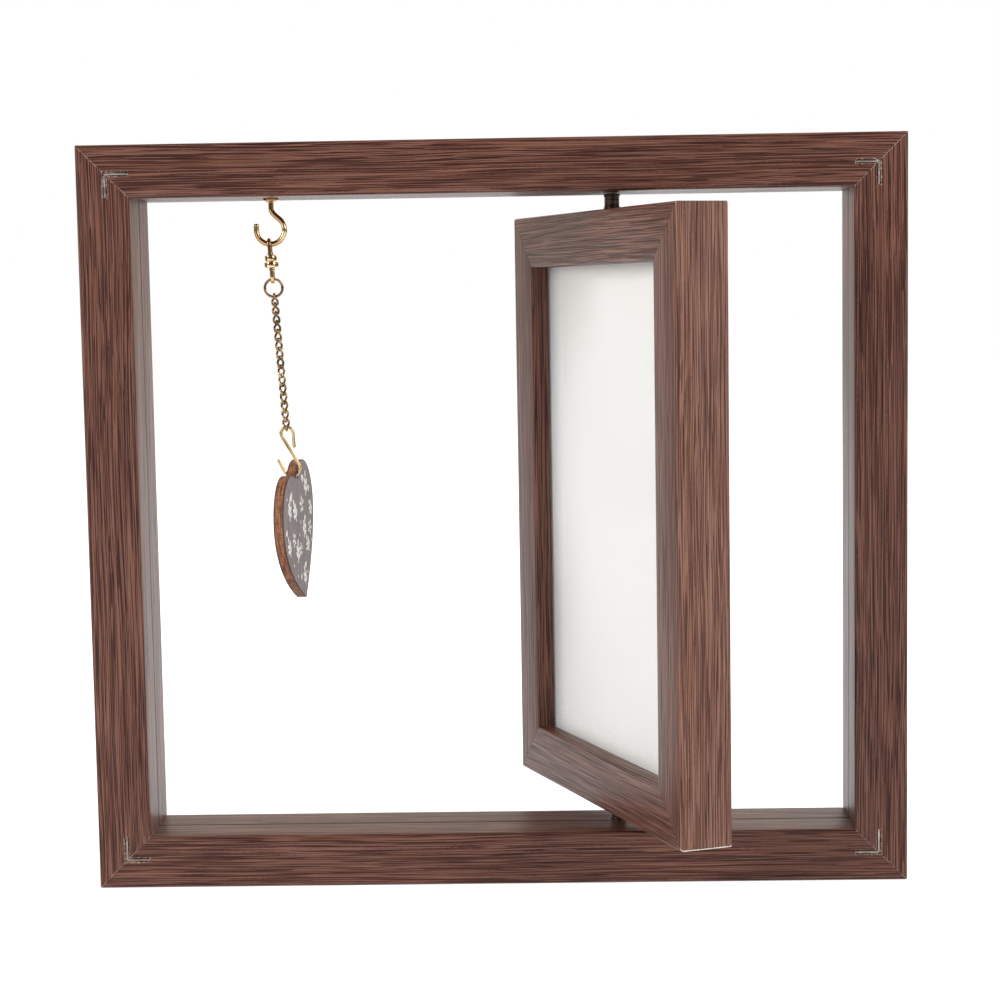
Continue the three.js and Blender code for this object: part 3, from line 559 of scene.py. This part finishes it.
# Non-glare acrylic bends the view of the card, and mirrors the room dimly, more and more towards a
# glance. Lamplight goes straight through, so that the card lies in an even light.
ACRYLIC_IOR = 1.49
ACRYLIC, tree, shader = new_finish("clear acrylic, non-glare faced")
tree.nodes.remove(shader)
clear = node(tree, "BsdfRefraction", {"Color": linear("#fdfefe"), "Roughness": 0.0,
                                      "IOR": ACRYLIC_IOR})
haze = node(tree, "TexNoise", {"Vector": node(tree, "TexCoord").outputs["Object"],
                               "Scale": 1 / 0.03})
haze = node(tree, "MapRange", (haze, 0.3, 0.7, 0.44, 0.5))
mirror = node(tree, "BsdfGlossy", {"Color": linear("#ffffff"), "Roughness": haze})
glance = node(tree, "Fresnel", (ACRYLIC_IOR,))
mixed = node(tree, "MixShader", (glance, clear, mirror))
ray = node(tree, "LightPath").outputs
lighting = node(tree, "Math", (ray["Is Shadow Ray"], ray["Is Diffuse Ray"]), operation="MAXIMUM")
mixed = node(tree, "MixShader", (lighting, mixed, node(tree, "BsdfTransparent")))
feed(tree, tree.nodes["Material Output"], {"Surface": mixed})


def plate(width, height, thickness, corner, edge):
    """A flat plate in X and Z with rounded corners and eased edges: its outline is drawn four
    times, set in by the edge at both faces and full between them."""
    outlines = [rounded([(-w, -h, corner), (w, -h, corner), (w, h, corner), (-w, h, corner)], 5)
                for w, h in ((width / 2 - e, height / 2 - e) for e in (edge, 0, 0, edge))]
    x, z = np.stack(outlines).transpose(2, 0, 1)
    half = thickness / 2
    y = np.array([-half, edge - half, half - edge, half])[:, None]
    shape = tube(np.stack(np.broadcast_arrays(x, y, z), -1))
    corners = np.concatenate([shape["quads"].ravel(), *shape["caps"]])
    shape["uv"] = shape["points"][corners][:, [0, 2]] * MM
    return shape


for name, side in (("front", -1), ("rear", 1)):
    for layer, finish, slot, at, sizes in (
            ("photo_card", CARD, "white_card", CARD_AT, (CARD_THICKNESS, CARD_CORNER, CARD_EDGE)),
            ("glazing", ACRYLIC, "clear_acrylic", SHEET_AT,
             (SHEET_THICKNESS, SHEET_CORNER, SHEET_EDGE))):
        shape = moved(plate(PRINT_WIDTH, PRINT_HEIGHT, *sizes), (0, side * at, 0))
        make_piece(f"{name}_{layer}_sheet", in_turn(shape), (finish,), "photo_pack", slot,
                   f"{name}_{layer}", sharp=30)

# Cup hook: brass-plated wire, screwed up into the top rail and bent to an open bowl, with a pressed
# collar that hides the hole.
BOWL_AT = np.array([-65.7, 0, 194.3])
HOOK_WIRE, BOWL_RADIUS, BOWL_START = 1.6, 4.15, 50
SHANK_AT, SHANK_TOP, SHANK_END, HOOK_TIP, HOOK_DOME = 0.35, 14.0, 6.3, 1.75, 0.3
COLLAR_RADIUS, COLLAR_FOOT, COLLAR_TOP, COLLAR_BORE = 2.33, 7.9, 9.2, 1.0
COLLAR_NECK, COLLAR_NECK_AT, COLLAR_RIM_AT = 1.7, 8.28, 8.62


def plated_brass(name, deep, body, bright, roughness, grit):
    """Brass plating, polished or dulled: warm metal whose tone drifts over about 6 mm, with fine
    marks of the grit's size in its gloss and its surface, drawn coarser than real so that they can
    be seen."""
    made, tree, shader = mottled(name, 0.006, 1.0, ((0.34, deep), (0.5, body), (0.66, bright)),
                                 Metallic=1.0)
    marks = node(tree, "TexNoise", {"Vector": node(tree, "TexCoord").outputs["Object"],
                                    "Scale": 1 / grit, "Detail": 2.0})
    gloss = node(tree, "MapRange", (marks, 0.3, 0.7, roughness - 0.04, roughness + 0.04))
    dents = node(tree, "Bump", {"Height": marks, "Strength": 0.03, "Distance": 0.00002})
    feed(tree, shader, {"Roughness": gloss, "Normal": dents})
    return made


def arc(x, z, radius, start, end, count):
    """Part of a circle in the XZ plane, between two angles in degrees."""
    angle = np.radians(np.linspace(start, end, count))
    return np.stack([x + radius * np.cos(angle), 0 * angle, z + radius * np.sin(angle)], -1)


def straight(start, end, count):
    """Even points from one place in the XZ plane to another."""
    t = np.linspace(0, 1, count)[:, None]
    flat = (1 - t) * np.asarray(start, float) + t * np.asarray(end, float)
    return np.stack([flat[:, 0], np.zeros(count), flat[:, 1]], -1)


def wire(path, radius, first=True, last=True):
    """Round wire along a path: a circle is carried along it, and each end named is closed by a flat
    dome, where the path runs on and the circle shrinks as the cosine while the way grows as the
    sine."""
    dome = np.linspace(0, 0.48 * math.pi, 7)[1:]
    rise, shrunk = 0.6 * radius * np.sin(dome)[:, None], np.cos(dome)
    share = np.ones(len(path))
    if last:
        path = np.concatenate([path, path[-1] + rise * unit(path[-1] - path[-2])])
        share = np.append(share, shrunk)
    if first:
        path = np.concatenate([(path[0] + rise * unit(path[0] - path[1]))[::-1], path])
        share = np.append(shrunk[::-1], share)
    return carried(path, circle(20, radius), np.array([0, 1, 0]), share)


BRASS = plated_brass("brass plating, polished", "#a9845a", "#c4a274", "#dcc49c", 0.14, 0.0018)
bowl = arc(0, 0, BOWL_RADIUS, BOWL_START, -180, 90)
pull = BOWL_RADIUS / 3
neck_start, bowl_start = np.array([SHANK_AT, 0, SHANK_END]), bowl[0]
t = np.linspace(0, 1, 26)[1:-1, None]
neck = ((1 - t) ** 3 * neck_start + 3 * (1 - t) ** 2 * t * (neck_start - (0, 0, pull))
        + 3 * (1 - t) * t ** 2 * (bowl_start + unit(bowl[0] - bowl[1]) * pull)
        + t ** 3 * bowl_start)
shape = wire(np.concatenate([
    straight((SHANK_AT, SHANK_TOP), (SHANK_AT, SHANK_END), 12), neck, bowl,
    straight((-BOWL_RADIUS, 0.08), (-BOWL_RADIUS, HOOK_TIP - HOOK_DOME), 8)]),
    HOOK_WIRE / 2, first=False)
make_piece("cup_hook_wire", moved(shape, BOWL_AT), (BRASS,), "outer_frame", "polished_brass",
           "cup_hook")
shape = lathed(rounded([
    (COLLAR_BORE, COLLAR_FOOT, 0.1), (COLLAR_NECK, COLLAR_NECK_AT, 0.6),
    (COLLAR_RADIUS, COLLAR_RIM_AT, 0.2), (COLLAR_RADIUS, COLLAR_TOP, 0.12),
    (COLLAR_BORE, COLLAR_TOP, 0)], 5))
make_piece("hook_collar_pressed", moved(shape, BOWL_AT + (SHANK_AT, 0, 0)), (BRASS,), "outer_frame",
           "polished_brass", "hook_collar")

# Swivel: two strap eyes, each rolled from flat brass and set in a round collar, turn on one headed
# rivet. The upper eye hangs in the hook's bowl.
SEAT = np.array([-66.07, 0, 190.15])
CHARM_LEAN = 3.77
EYE_RADIUS, STRAP_THICKNESS, STRAP_BITE, STRAP_EDGE = 1.1, 0.8, 0.6, 0.25
UPPER_CROWN, UPPER_TOP, UPPER_FOOT = 1.0, -3.3, -5.0
LOWER_TOP, LOWER_FOOT, LOWER_CROWN = -5.3, -6.9, -10.9
UPPER_STRAP, LOWER_STRAP = 1.0, 1.1
UPPER_COLLAR, LOWER_COLLAR, RIVET_BORE = 1.8, 2.15, 0.8
RIVET_RADIUS, HEAD_RADIUS, HEAD_HEIGHT, HEAD_GAP = 0.6, 0.9, 0.8, 0.2


def hung(shape):
    """A shape in the charm's measures, from its seat in the hook's bowl, leant into place."""
    return moved(shape, SEAT, "Y", -CHARM_LEAN)


def strap_eye(crown, foot, width, way):
    """A strap bent over in the YZ plane: two legs joined by a half circle, with its crown at one
    height and its feet at another, upwards or downwards. The section is flat, and wide along X."""
    centre = crown - way * EYE_RADIUS
    middle = EYE_RADIUS + STRAP_THICKNESS / 2
    bend, leg = np.linspace(0, math.pi, 33), np.linspace(foot, centre, 9)[:-1]
    y = np.concatenate([np.full(8, middle), middle * np.cos(bend), np.full(8, -middle)])
    z = np.concatenate([leg, centre + way * middle * np.sin(bend), leg[::-1]])
    w, h = width / 2, STRAP_THICKNESS / 2
    section = rounded([(*at, STRAP_EDGE) for at in ((-w, -h), (w, -h), (w, h), (-w, h))], 3)
    return carried(np.stack([0 * y, y, z], -1), section, np.array([1, 0, 0]))


def collar_ring(radius, low, high):
    """A round collar with eased edges, turned about the charm's axis."""
    return lathed(rounded([(RIVET_BORE, low, 0.1), (radius, low, 0.28), (radius, high, 0.28),
                           (RIVET_BORE, high, 0.1)]), 40)


for part, crown, foot, width, way, ring in (
        ("upper", UPPER_CROWN, UPPER_TOP - STRAP_BITE, UPPER_STRAP, 1,
         (UPPER_COLLAR, UPPER_FOOT, UPPER_TOP)),
        ("lower", LOWER_CROWN, LOWER_FOOT + STRAP_BITE, LOWER_STRAP, -1,
         (LOWER_COLLAR, LOWER_FOOT, LOWER_TOP))):
    shape = joined(strap_eye(crown, foot, width, way), collar_ring(*ring))
    make_piece(f"swivel_{part}_eye_strap", hung(shape), (BRASS,), f"swivel_{part}",
               "polished_brass", f"swivel_{part}_eye")
under, over = LOWER_FOOT - HEAD_GAP, UPPER_TOP + HEAD_GAP
foot, top = under - HEAD_HEIGHT, over + HEAD_HEIGHT
shape = lathed(rounded([
    (0, foot, 0), (HEAD_RADIUS, foot, 0.35), (HEAD_RADIUS, under, 0.1), (RIVET_RADIUS, under, 0),
    (RIVET_RADIUS, over, 0), (HEAD_RADIUS, over, 0.1), (HEAD_RADIUS, top, 0.35), (0, top, 0)]),
    32, ring=False)
make_piece("swivel_rivet_headed", hung(shape), (BRASS,), "swivel_upper", "polished_brass",
           "swivel_rivet")

# Jump ring and curb chain: antique brass wire. The ring is closed with a butt joint, and each link
# is an oval loop twisted a quarter turn, so that the links lie close in one another.
RING_RADIUS, RING_WIRE, RING_AT, RING_OPENING, RING_SWEEP = 2.6, 0.8, -12.9, 62, 353
LINK_COUNT, LINK_PITCH, LINK_WIRE, LINK_BEND = 15, 2.66, 0.72, 0.825
LINK_LENGTH, FIRST_LINK_TOP = 3.46, -14.625
LINK_TWIST, CHAIN_TWIST = 90, 90
ANTIQUE = plated_brass("brass plating, antiqued", "#624c34", "#917655", "#bba481", 0.2, 0.0012)
shape = wire(arc(0, RING_AT, RING_RADIUS, RING_OPENING, RING_OPENING - RING_SWEEP, 120),
             RING_WIRE / 2)
make_piece("jump_ring_wire", hung(shape), (ANTIQUE,), "jump_ring", "antique_brass", "jump_ring")


def link_path(count):
    """One link's centre line: two straight legs and two half circles in a flat loop, and then a
    turn about the link's length that grows smoothly from nil at the upper bend to the twist at the
    lower."""
    leg = LINK_LENGTH - 2 * LINK_BEND
    t = np.arange(count) / count
    flip = np.where(t < 0.5, 1, -1)
    along = (2 * t % 1) * (leg + math.pi * LINK_BEND)
    angle = np.maximum(along - leg, 0) / LINK_BEND
    out = flip * LINK_BEND * np.cos(angle)
    height = flip * (leg / 2 - np.minimum(along, leg) - LINK_BEND * np.sin(angle))
    share = np.clip((leg / 2 - height) / leg, 0, 1)
    turn = math.radians(LINK_TWIST) * share * share * (3 - 2 * share)
    return np.stack([out * np.cos(turn), out * np.sin(turn), height], -1)


loop = link_path(72)
outwards = np.cross(np.roll(loop, -1, 0) - np.roll(loop, 1, 0), loop)
link = carried(loop, circle(10, LINK_WIRE / 2), outwards, closed=True)
for number in range(LINK_COUNT):
    height = FIRST_LINK_TOP - number * LINK_PITCH - LINK_LENGTH / 2
    shape = moved(link, (0, 0, height), "Z", 90 + CHAIN_TWIST * number / (LINK_COUNT - 1))
    make_piece(f"chain_link_{number + 1:02d}_wire", hung(shape), (ANTIQUE,),
               f"link_{number + 1:02d}", "antique_brass", f"chain_link_{number + 1:02d}")

# S-hook: soft brass wire, bent by hand into two unequal bends with both ends left open.
S_WIRE, S_UPPER_RADIUS, S_LOWER_RADIUS = 1.0, 1.8, 2.4
S_UPPER_AT, S_LOWER_AT = np.array((0, -56.15)), np.array((0.5, -66.65))
S_UPPER_TAIL, S_LOWER_TAIL, S_LOWER_END, S_DOME = 4.5, 4.2, -157, 0.3
SOFT_BRASS = plated_brass("brass wire, drawn bright", "#957a4e", "#bfa578", "#dcc89f", 0.2, 0.0012)
between = S_LOWER_AT - S_UPPER_AT
lean = math.degrees(math.atan2(between[1], between[0]))
touch = math.degrees(math.acos((S_UPPER_RADIUS + S_LOWER_RADIUS) / np.linalg.norm(between)))
upper_bend = arc(*S_UPPER_AT, S_UPPER_RADIUS, 0, lean - touch + 360, 60)
lower_bend = arc(*S_LOWER_AT, S_LOWER_RADIUS, lean - touch + 180, S_LOWER_END, 60)
tail_angle, tail_start = math.radians(S_LOWER_END), lower_bend[-1][[0, 2]]
tail_way = np.array([math.sin(tail_angle), -math.cos(tail_angle)])
upper_tail = S_UPPER_AT + (S_UPPER_RADIUS, S_DOME - S_UPPER_TAIL)
shape = wire(np.concatenate([
    straight(upper_tail, S_UPPER_AT + (S_UPPER_RADIUS, 0), 16)[:-1], upper_bend,
    straight(upper_bend[-1][[0, 2]], lower_bend[0][[0, 2]], 30)[1:-1], lower_bend,
    straight(tail_start, tail_start + tail_way * (S_LOWER_TAIL - S_DOME), 16)[1:]]), S_WIRE / 2)
make_piece("s_hook_wire", hung(shape), (SOFT_BRASS,), "s_hook", "polished_brass", "s_hook")

# Heart tag: 3 mm board, painted grey-brown on both faces and cut out by laser, which leaves a
# scorched red-brown edge. It hangs by a hole beside the notch.
HEART_WIDTH, HEART_HEIGHT, HEART_THICKNESS = 44.5, 40.4, 3.0
LOBE_RADIUS, FLANK_START, FLANK_FULLNESS = 13.8, -15, 0.36
HOLE_SIDE, HOLE_RADIUS, HOLE_WALL, HOLE_POINTS = 3.15, 1.097, 0.6, 48
HEART_YAW, HEART_ROLL, HEART_LEAN = 5.1, 12.7, 1.2
HEART_HANG = np.array([0.5, 0, -68.763])
EASED = 0.1
# Sprayed paint lies in a fine mist of dots, with the board's grain faint below it.
PAINT, tree, shader = new_finish("grey-brown paint, sprayed on board", Roughness=0.62,
                                 Specular_IOR_Level=0.4)
place = node(tree, "TexCoord").outputs["Object"]
mist = node(tree, "TexNoise", {"Vector": place, "Scale": 1 / 0.0005, "Detail": 4.0,
                               "Roughness": 0.7})
below = node(tree, "Mapping", {"Vector": place, "Scale": (1 / 0.002, 1 / 0.0006, 1 / 0.008)})
below = node(tree, "TexNoise", {"Vector": below, "Scale": 1.0, "Detail": 2.0})
mist = node(tree, "MixRGB", (0.45, mist, below))
feed(tree, shader, {
    "Base Color": node(tree, "ValToRGB", (mist,), (
        (0.36, "#5f5554"), (0.5, "#796f70"), (0.64, "#978d8c"))),
    "Normal": node(tree, "Bump", {"Height": mist, "Strength": 0.3, "Distance": 0.0001})})

# The cut edge reads its UV: metres along the outline, and across the board from -1 to 1 at the
# faces. Both arrises are burnt dark, and fine dark ticks show where the beam paused.
SCORCHED, tree, shader = new_finish("fibreboard edge, laser cut", Roughness=0.7)
uv = node(tree, "UVMap", uv_map="wrap")
fibres, ticks = streaks(tree, uv, 0.004, 1 / 3, 4.0), streaks(tree, uv, 0.0005, 1 / 0.9, 2.0)
colour = node(tree, "ValToRGB", (fibres,), (
    (0.34, "#5f3722"), (0.5, "#8a573a"), (0.66, "#aa7755")))
ticks = node(tree, "MapRange", (ticks, 0.58, 0.7, 0.0, 0.7))
across = node(tree, "SeparateXYZ", (uv,)).outputs["Y"]
rim = node(tree, "Math", (across,), operation="ABSOLUTE")
rim = node(tree, "Math", (fibres, 0.5, rim), operation="MULTIPLY_ADD")
rim = node(tree, "MapRange", (rim, 0.88, 1.18))
burnt = node(tree, "Math", (ticks, rim), operation="MAXIMUM")
feed(tree, shader, {"Base Color": node(tree, "MixRGB", (burnt, colour, linear("#371d13")))})

lobe_at = HEART_WIDTH / 2 - LOBE_RADIUS
hole_rise = math.sqrt(LOBE_RADIUS ** 2 - (lobe_at - HOLE_SIDE) ** 2)
hole_middle = np.array([HOLE_SIDE, hole_rise - LOBE_RADIUS - HOLE_WALL - HOLE_RADIUS])


def heart_outline():
    """The heart in (y, z), from its tip and up the right flank: a quadratic curve, two lobe arcs
    that meet in the notch, and the left flank. One point stands below the hole and one above it, so
    that a cut through the hole parts each face into two simple halves. Returns points and those
    numbers."""
    flank = math.radians(FLANK_START)
    start = LOBE_RADIUS * np.array([math.cos(flank), math.sin(flank)]) + (lobe_at, -LOBE_RADIUS)
    reach = FLANK_FULLNESS * math.hypot(start[0], start[1] + HEART_HEIGHT)
    pull = reach * np.array([math.sin(flank), -math.cos(flank)]) + start
    tip = np.array([0, -HEART_HEIGHT])
    roots = np.roots([start[0] - 2 * pull[0], 2 * pull[0], -HOLE_SIDE]).real
    below = roots[(roots > 0) & (roots < 1)][0]
    t = np.concatenate([np.linspace(0, below, 7)[:-1], np.linspace(below, 1, 41)[:-1]])[:, None]
    right = (1 - t) ** 2 * tip + 2 * (1 - t) * t * pull + t ** 2 * start
    notch = math.pi - math.acos(lobe_at / LOBE_RADIUS)
    above = math.pi - math.acos((lobe_at - HOLE_SIDE) / LOBE_RADIUS)
    angle = np.concatenate([np.linspace(flank, above, 61)[:-1], np.linspace(above, notch, 9)])
    lobe = LOBE_RADIUS * np.stack([np.cos(angle), np.sin(angle)], -1) + (lobe_at, -LOBE_RADIUS)
    other = np.concatenate([right[1:], lobe[:-1]])[::-1] * (-1, 1)
    return np.concatenate([right, lobe, other]), 6, len(right) + 60


def heart_place(shape):
    """A shape in the heart's (thickness, y, z), hung by the hole's middle and turned by roll, yaw
    and lean."""
    shape = moved(moved(shape, (0, *-hole_middle)), 0, "X", HEART_ROLL)
    shape = moved(shape, 0, "Z", -HEART_YAW)
    return hung(moved(shape, HEART_HANG, "Y", CHARM_LEAN - HEART_LEAN))


outline, under_hole, over_hole = heart_outline()
count, half_turn = len(outline), HOLE_POINTS // 2
ring = circle(HOLE_POINTS)[:, ::-1]
set_in = EASED * np.array([1, 0, 0, 1])[:, None, None]
eased = 1 - 2 * EASED / HEART_THICKNESS
across = np.array([1, eased, -eased, -1])[:, None]
rim_points, hole_points = (
    np.concatenate([np.broadcast_to(across[..., None] * HEART_THICKNESS / 2, (*flat.shape[:2], 1)),
                    flat], -1).reshape(-1, 3)
    for flat in (outline + leftward(outline) * set_in, hole_middle + ring * (HOLE_RADIUS + set_in)))
rim_count = 4 * count
hole = np.arange(HOLE_POINTS) + rim_count
halves = [np.concatenate([np.arange(under_hole, over_hole + 1), hole[:half_turn + 1]]),
          np.concatenate([np.arange(over_hole, count), np.arange(under_hole + 1), hole[half_turn:],
                          hole[:1]])]
rear_halves = [half + np.where(half < rim_count, 3 * count, 3 * HOLE_POINTS) for half in halves]
shape = {"points": np.concatenate([rim_points, hole_points]),
         "quads": np.concatenate([lattice(4, count), lattice(4, HOLE_POINTS) + rim_count]),
         "caps": halves + rear_halves,
         "uv": np.concatenate([corner_uv(run_along(line)[None], across)
                               for line in (outline, HOLE_RADIUS * ring)])}
make_piece("heart_tag_board", heart_place(shape), (SCORCHED, PAINT), "heart", "painted_board",
           "heart_tag", sharp=30)

# Print on the heart's face: a plain white garden ornament, screen printed: leafy sprigs, blossoms,
# small hearts and dots. The ink is a thin film, a little worn.
INK_THICKNESS, INK_LIFT, DOT_RADIUS = 0.03, 0.004, 0.45
SPRIGS = ((-13, -12, 65, 6.5), (-4, -15, 105, 7), (12, -12, 75, 7), (18, -20, 115, 5.5),
          (4.5, -23, 60, 6.5), (-16, -22, 100, 6), (-7, -27, 70, 6.5), (10, -29, 115, 6),
          (1, -37, 92, 6))
SPRIG_LEAVES = ((0.7, 0, 0), (0.5, 0.02, 48), (0.44, -0.02, -48), (0.25, 0.03, 55),
                (0.19, -0.03, -55))
BLOSSOMS = ((5, -12.5, 10, 2.6), (-9.5, -19, 30, 2.2), (13.5, -22.5, 50, 2.3),
            (-1.5, -24.5, 5, 2.0))
SMALL_HEARTS = ((-8.5, -6, 14, 3.2), (9, -5.5, -14, 3.0), (16.5, -11, -20, 2.4),
                (-18.5, -14, 20, 2.4), (3, -31, -8, 2.4), (-4, -32.5, 12, 2.0))
DOTS = ((-14, -5), (-5, -10), (1.5, -17), (8.6, -17.6), (-12.5, -26), (6, -27), (17.5, -15.5),
        (-1.5, -20), (14.5, -27), (5, -34), (-9, -30.5))
INK, *_ = mottled("white ink, screen printed", 0.0006, 3.0, (
    (0.3, "#d8d0cd"), (0.42, "#f4efec"), (0.6, "#faf8f6")), Roughness=0.6)


def aimed(flat, y, z, angle):
    """A flat mark turned by degrees and moved to its place."""
    c, s = math.cos(math.radians(angle)), math.sin(math.radians(angle))
    return flat @ np.array([[c, s], [-s, c]]) + (y, z)


def leaf(y, z, angle, length, width):
    """A pointed oval from its stalk: the half width follows the sine of the way along."""
    t = np.linspace(0, 1, 11)
    half = width / 2 * np.sin(math.pi * t) ** 0.85
    flat = np.stack([np.append(t, t[-2:0:-1]) * length, np.append(half, -half[-2:0:-1])], -1)
    return aimed(flat, y, z, angle)


def sprig(y, z, angle, size):
    """A stem with a leaf at its end and pairs of leaves along it."""
    stem = np.array([(0, -0.06), (0.75, -0.03), (0.75, 0.03), (0, 0.06)]) * size
    leaves = [leaf(a * size, b * size, way, 0.43 * size, 0.22 * size) for a, b, way in SPRIG_LEAVES]
    return [aimed(mark, y, z, angle) for mark in (stem, *leaves)]


def dot(y, z, radius):
    """A round dot."""
    return circle(16, radius) + (y, z)


def blossom(y, z, angle, size):
    """Five petals about a gap, and a dot in the gap."""
    petal = leaf(0.34 * size, 0, 0, 0.75 * size, 0.55 * size)
    return [dot(y, z, 0.22 * size)] + [aimed(petal, y, z, angle + 72 * k) for k in range(5)]


def small_heart(y, z, angle, size):
    """A small heart by the usual sums of sines and cosines."""
    a = np.linspace(0, 2 * math.pi, 28, endpoint=False)
    flat = np.stack([16 * np.sin(a) ** 3, 13 * np.cos(a) - 5 * np.cos(2 * a) - 2 * np.cos(3 * a)
                     - np.cos(4 * a)], -1)
    return aimed(flat * size / 32, y, z, angle)


marks = [mark for make, places in ((sprig, SPRIGS), (blossom, BLOSSOMS)) for place in places
         for mark in make(*place)]
marks += [small_heart(*place) for place in SMALL_HEARTS]
marks += [dot(*place, DOT_RADIUS) for place in DOTS]
sizes = [len(mark) for mark in marks]
flat = np.concatenate(marks)
shape = {"points": np.column_stack([np.full(len(flat), HEART_THICKNESS / 2 + INK_LIFT), flat]),
         "quads": np.zeros((0, 4), int),
         "caps": [np.arange(size) + start for size, start in zip(sizes, np.cumsum([0] + sizes))]}
printed = make_piece("heart_print", heart_place(shape), (INK,), "heart", "painted_board")
film = printed.modifiers.new("ink film", "SOLIDIFY")
film.thickness, film.offset = INK_THICKNESS * MM, 1.0

# Floor: plain white studio paper that keeps the object's shadow. What sees it straight, in a mirror
# or through glass sees it a little brighter, so that the lit paper is white.
FLOOR_HALF, FLOOR_DROP, FLOOR_GLOW = 5.0, 0.0002, 0.7
PAPER, tree, shader = new_finish("white studio paper")
tree.nodes.remove(shader)
ray = node(tree, "LightPath").outputs
seen = node(tree, "Math", (ray["Is Camera Ray"], ray["Is Glossy Ray"]), operation="MAXIMUM")
seen = node(tree, "Math", (seen, ray["Is Transmission Ray"]), operation="MAXIMUM")
glow = node(tree, "Math", (seen, FLOOR_GLOW), operation="MULTIPLY")
matt = node(tree, "BsdfDiffuse", {"Color": linear("#f6f6f6")})
lit = node(tree, "Emission", {"Strength": glow})
feed(tree, tree.nodes["Material Output"], {"Surface": node(tree, "AddShader", (matt, lit))})
mesh = bpy.data.meshes.new("studio_floor")
corners = np.array([(-1, -1), (1, -1), (1, 1), (-1, 1)]) * FLOOR_HALF
mesh.from_pydata(np.column_stack([corners, np.full(4, -FLOOR_DROP)]).tolist(), [], [(0, 1, 2, 3)])
mesh.materials.append(PAPER)
add_object("studio_floor", mesh)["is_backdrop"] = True

# Light: an even studio with a white backdrop, which metal and glass mirror too, a little warm and
# darker only on the camera's own side, two large soft boxes left and right of the camera, and a
# weaker one behind for the sides that are turned away.
AMBIENT, CAMERA_SIDE = 0.38, 0.08
SOFT_BOX_SIZE, LIT_MIDDLE = 1.2, Vector((0, 0, 0.1))
SOFT_BOXES = (("right soft box", (1.63, -1.14, 1.03), 24.0),
              ("left soft box", (-1.63, -1.14, 1.03), 27.0),
              ("rear soft box", (0.9, 1.6, 1.3), 11.0))
world = bpy.data.worlds.new("white studio")
bpy.context.scene.world = world
world.use_nodes = True
tree = world.node_tree
ray = node(tree, "LightPath").outputs
way = node(tree, "SeparateXYZ", (node(tree, "TexCoord").outputs["Generated"],))
room = node(tree, "MapRange", (way.outputs["Y"], -0.75, -0.1, CAMERA_SIDE, 1.0))
room = node(tree, "MixRGB", (1.0, room, linear("#fff4e9")), blend_type="MULTIPLY")
mirrored = node(tree, "Math", (ray["Is Glossy Ray"], ray["Is Transmission Ray"]),
                operation="MAXIMUM")
level = node(tree, "MixRGB", (mirrored, (AMBIENT, AMBIENT, AMBIENT, 1), room))
level = node(tree, "MixRGB", (ray["Is Camera Ray"], level, (1, 1, 1, 1)))
feed(tree, tree.nodes["Background"], {"Color": level})
for name, place, power in SOFT_BOXES:
    lamp = bpy.data.lights.new(name, "AREA")
    lamp.shape, lamp.size, lamp.energy = "SQUARE", SOFT_BOX_SIZE, power
    stand = add_object(name, lamp)
    stand.location = place
    stand.rotation_euler = (LIT_MIDDLE - Vector(place)).to_track_quat("-Z", "Y").to_euler()
bpy.context.scene.view_settings.view_transform = "Standard"

# Camera: where the photograph was taken from, a little above the middle and almost square to the
# frame.
YAW, PITCH, ROLL = -1.20, -5.83, -0.92
CAMERA_AT = (0.0201, -0.6719, 0.1725)
SENSOR, FOCAL_PIXELS, IMAGE, CENTRE_PIXEL = 36.0, 2260.0, 1000.0, (518.0, 531.0)
yaw, pitch, roll = (math.radians(angle) for angle in (YAW, PITCH, ROLL))
ahead = Vector((math.sin(yaw) * math.cos(pitch), math.cos(yaw) * math.cos(pitch), math.sin(pitch)))
right = Vector((math.cos(yaw), -math.sin(yaw), 0))
up = right.cross(ahead)
right, up = (right * math.cos(roll) + up * math.sin(roll),
             up * math.cos(roll) - right * math.sin(roll))
lens = bpy.data.cameras.new("studio camera")
lens.sensor_width = SENSOR
lens.lens = FOCAL_PIXELS * SENSOR / IMAGE
lens.shift_x = 0.5 - CENTRE_PIXEL[0] / IMAGE
lens.shift_y = CENTRE_PIXEL[1] / IMAGE - 0.5
camera = add_object("studio camera", lens)
camera.matrix_world = Matrix((right, up, -ahead)).transposed().to_4x4()
camera.location = CAMERA_AT
bpy.context.scene.camera = camera

low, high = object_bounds()
